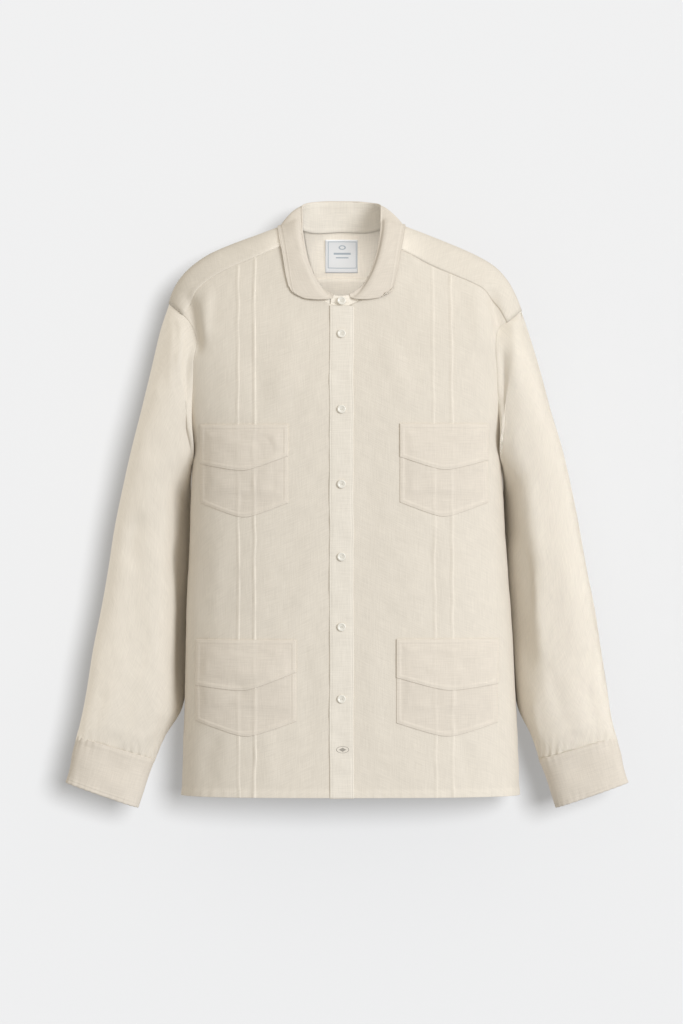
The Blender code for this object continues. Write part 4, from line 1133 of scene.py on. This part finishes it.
def button_grid(centre, outward):
    """The profile turned round its axis, pressed in at four holes, and set on the cloth."""
    steps = np.concatenate([np.linspace(0, 2, 17), np.arange(2.0, 13.0, 0.5)[1:], [13.0]])
    curve = smooth(np.arange(14.0), np.stack(list(BUTTON_PROFILE.values()), axis=1))(steps)
    turns = np.linspace(0.0, 2.0 * np.pi, 56, endpoint=False)
    east = np.cross([0.0, 0.0, 1.0], -outward)
    east = east / np.linalg.norm(east)
    up = np.cross(east, -outward)
    aside = curve[:, :1] * np.cos(turns)
    above = curve[:, :1] * np.sin(turns)
    height = curve[:, 1:] + 0.0 * aside
    off = np.hypot(np.abs(aside) - HOLE_OUT * 0.71, np.abs(above) - HOLE_OUT * 0.71)
    dip = ease((HOLE_HALF + 0.15 - off) / 0.3)
    height = np.where(steps[:, None] < 6, height - dip, height)
    return centre + aside[..., None] * east + above[..., None] * up + height[..., None] * outward


pearl, _, _ = material("white_pearl_plastic", {"Base Color": linear("#ece8de"), "Roughness": 0.28,
                                               "Coat Weight": 0.35, "Coat Roughness": 0.15})

button_seats = []
for number, height in enumerate(BUTTONS, 1):
    place = np.zeros(1)
    seat = over_front(place, height, PLACKET_RISE + 0.15)[0]
    outward = body_outward(place, fall_at(place, height, -1))[0]
    button_seats.append((f"button_{number}", seat, outward))
for side_name, side in (("right", -1), ("left", 1)):
    grid = cuff_grid(side)
    seat, near = grid[26, 122], grid[26, 121]
    outward = np.cross(grid[27, 122] - seat, near - seat) * side
    outward = outward / np.linalg.norm(outward)
    button_seats.append((f"cuff_button_{side_name}", seat + 0.2 * outward, outward))
for name, seat, outward in button_seats:
    piece = closed(name + "_disc", button_grid(seat, outward), pearl)
    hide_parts(name)


# ---- Neck label ----
# A square of white woven tape inside the back yoke, with a thin grey-blue line round it, an oval
# and two plain bars woven in. It carries no words.

LABEL_HALF = 22.0
LABEL_TOP = -10.0
LABEL_SINK = 2.0
LABEL_WALL = 0.5
LABEL_LINE = 19.0            # its woven line is this far from its middle
LABEL_BARS = ((-1.5, 1.4, 11.5), (4.2, 0.9, 8.5))     # how far down, half height and half width
label_across = np.linspace(-LABEL_HALF, LABEL_HALF, 24)[None]
label_heights = np.linspace(LABEL_TOP, LABEL_TOP - 2 * LABEL_HALF, 24)[:, None]
tape, tree, shader = material("white_label_tape", {"Roughness": 0.6})
place = node(tree, "ShaderNodeSeparateXYZ",
             links={0: node(tree, "ShaderNodeUVMap", {"uv_map": "cloth"}).outputs["UV"]})
beside = maths(tree, "ABSOLUTE", place.outputs[0])
below = maths(tree, "SUBTRACT", place.outputs[1], LABEL_HALF * MM)
outer = maths(tree, "MAXIMUM", beside, maths(tree, "ABSOLUTE", below))
marks = maths(tree, "COMPARE", outer, LABEL_LINE * MM, 0.5 * MM)
for middle, half, reach in LABEL_BARS:
    bar = maths(tree, "COMPARE", below, middle * MM, half * MM)
    bar = maths(tree, "MULTIPLY", bar, maths(tree, "LESS_THAN", beside, reach * MM))
    marks = maths(tree, "MAXIMUM", marks, bar)
oval = node(tree, "ShaderNodeCombineXYZ",
            links={0: beside, 1: maths(tree, "MULTIPLY_ADD", below, 1.5, 15.8 * MM)})
oval = node(tree, "ShaderNodeVectorMath", {"operation": "LENGTH"}, {0: oval.outputs[0]})
oval = maths(tree, "COMPARE", oval.outputs["Value"], 4.0 * MM, 1.0 * MM)
marks = maths(tree, "MAXIMUM", marks, oval)
mixed = node(tree, "ShaderNodeMix",
             {"data_type": "RGBA", 6: linear("#d2d3d4"), 7: linear("#9aa3ab")}, {0: marks})
tree.links.new(mixed.outputs[2], shader.inputs["Base Color"])
label_grid = over_front(label_across, label_heights, -LABEL_SINK, face=1)
label = sewn("neck_label_tape", label_grid, tape, LABEL_WALL, "white_label_tape", "neck_label",
             inside_out=True)


# ---- Embroidered mark ----
# A small grey oval with a lozenge in it, worked in satin stitch through the placket near its foot.
# The stitches stand out along the oval's rim and over the lozenge.

grey_thread, _, _ = material("grey_embroidery_thread",
                             {"Base Color": linear("#a39d94"), "Roughness": 0.55})
MARK_HEIGHT = -692.0
MARK_WIDE = 9.5
MARK_HIGH = 5.0
mark_turns = np.linspace(0.0, 2.0 * np.pi, 72, endpoint=False)[None]
mark_share = np.linspace(1.0, 0.001, 30)[:, None]
mark_across = 1.5 + MARK_WIDE * mark_share * np.cos(mark_turns)
mark_height = MARK_HEIGHT + MARK_HIGH * mark_share * np.sin(mark_turns)
lozenge = 0.62 - np.abs(mark_share * np.cos(mark_turns)) - np.abs(mark_share * np.sin(mark_turns))
mark_rise = 1.3 * bell(mark_share - 0.86, 0.09) + 1.2 * ease(lozenge / 0.12)
mark_rise = mark_rise + 0.5 * unevenness(mark_across, mark_height, 17.0, 81)
mark_grid = over_front(mark_across, mark_height, PLACKET_RISE - 0.95 + mark_rise)
mark = closed("hem_mark_stitching", mark_grid[:, ::-1], grey_thread)


# ---- Stage ----
# A pale backdrop close behind, a floor, a broad soft key light from the upper right and an even
# sky. Weak lamps that light one piece each open up the sleeves and the inside of the neck.

wall_finish = bpy.data.materials.new("pale_backdrop")
wall_finish.use_nodes = True
tree = wall_finish.node_tree
tree.nodes.clear()
back_side = node(tree, "ShaderNodeNewGeometry").outputs["Backfacing"]
paint = node(tree, "ShaderNodeBsdfDiffuse", {"Color": (0.2992, 0.3034, 0.3115, 1.0)})
lit = node(tree, "ShaderNodeEmission", {"Color": (1.0, 1.0, 1.0, 1.0), "Strength": 0.248})
paint = node(tree, "ShaderNodeAddShader", links={0: paint.outputs["BSDF"],
                                                 1: lit.outputs["Emission"]}).outputs["Shader"]
clear = node(tree, "ShaderNodeBsdfTransparent").outputs["BSDF"]
mixed = node(tree, "ShaderNodeMixShader", links={0: back_side, 1: paint, 2: clear})
node(tree, "ShaderNodeOutputMaterial", links={"Surface": mixed.outputs["Shader"]})

WALL_BEHIND = 0.104          # the stage is in metres
FLOOR = -1.6
stage = {}
for name, corners in (
        ("stage_wall", [(-1.3, WALL_BEHIND, FLOOR), (1.3, WALL_BEHIND, FLOOR),
                        (1.3, WALL_BEHIND, 0.9), (-1.3, WALL_BEHIND, 0.9)]),
        ("stage_floor", [(-3, -4, FLOOR), (3, -4, FLOOR), (3, 4, FLOOR), (-3, 4, FLOOR)])):
    mesh = bpy.data.meshes.new(name)
    mesh.from_pydata(corners, [], [(0, 1, 2, 3)])
    mesh.materials.append(wall_finish)
    panel = placed(name, mesh)
    stage[name] = panel
    if name == "stage_wall":
        panel.visible_diffuse = panel.visible_glossy = panel.visible_shadow = False
        panel.visible_transmission = False


def lamp(name, kind, energy, aside, up, lights, excluded=()):
    """A light that shines from so many degrees to the right of the front and above it. It lights
    only the objects given, or everything but the excluded ones."""
    made = bpy.data.lights.new(name, kind)
    made.energy = energy
    shining = placed(name, made)
    shining.rotation_euler = (np.radians(90.0 - up), 0.0, np.radians(aside))
    group = bpy.data.collections.new(name + "_lights")
    for thing in lights or excluded:
        group.objects.link(thing)
    if excluded:
        for entry in group.collection_objects:
            entry.light_linking.link_state = "EXCLUDE"
    shining.light_linking.receiver_collection = group
    return shining


key = lamp("key", "SUN", 1.87, 41.0, 16.0, [], [stage["stage_wall"]])
key.data.angle = np.radians(26.0)
key.data.color = (0.90, 0.94, 1.0)
drop = lamp("backdrop_light", "SUN", 4.87, 13.5, 7.0, [stage["stage_wall"]])
drop.data.angle = np.radians(17.0)
fill = lamp("sleeve_fill", "SUN", 0.85, -78.0, 12.0, [sleeves[-1]])
fill.data.angle = np.radians(30.0)
front_fill = lamp("left_sleeve_fill", "SUN", 0.3, 20.0, 8.0, [sleeves[1]])
front_fill.data.angle = np.radians(30.0)
for name, power, lit in (("neck_light", 380.0, [yoke, back, label]),
                         ("collar_light", 120.0, [stand])):
    inside = lamp(name, "SPOT", power, -2.0, 1.2, lit)
    inside.location = (-0.105, -3.0, 0.02)
    inside.data.spot_size = np.radians(3.0)
    inside.data.spot_blend = 0.6
    inside.data.shadow_soft_size = 0.06

world = bpy.data.worlds.new("studio")
world.use_nodes = True
world.node_tree.nodes["Background"].inputs["Color"].default_value = (1.0, 0.95, 0.86, 1.0)
world.node_tree.nodes["Background"].inputs["Strength"].default_value = 0.64
bpy.context.scene.world = world

lens = bpy.data.cameras.new("camera")
lens.lens = 180.0
lens.sensor_width = 36.0
lens.clip_end = 30.0
camera = placed("camera", lens)
camera.location = (0.0, -6.86, -0.378)
camera.rotation_euler = (np.radians(90.0), 0.0, 0.0)
bpy.context.scene.camera = camera
bpy.context.scene.view_settings.view_transform = "Standard"
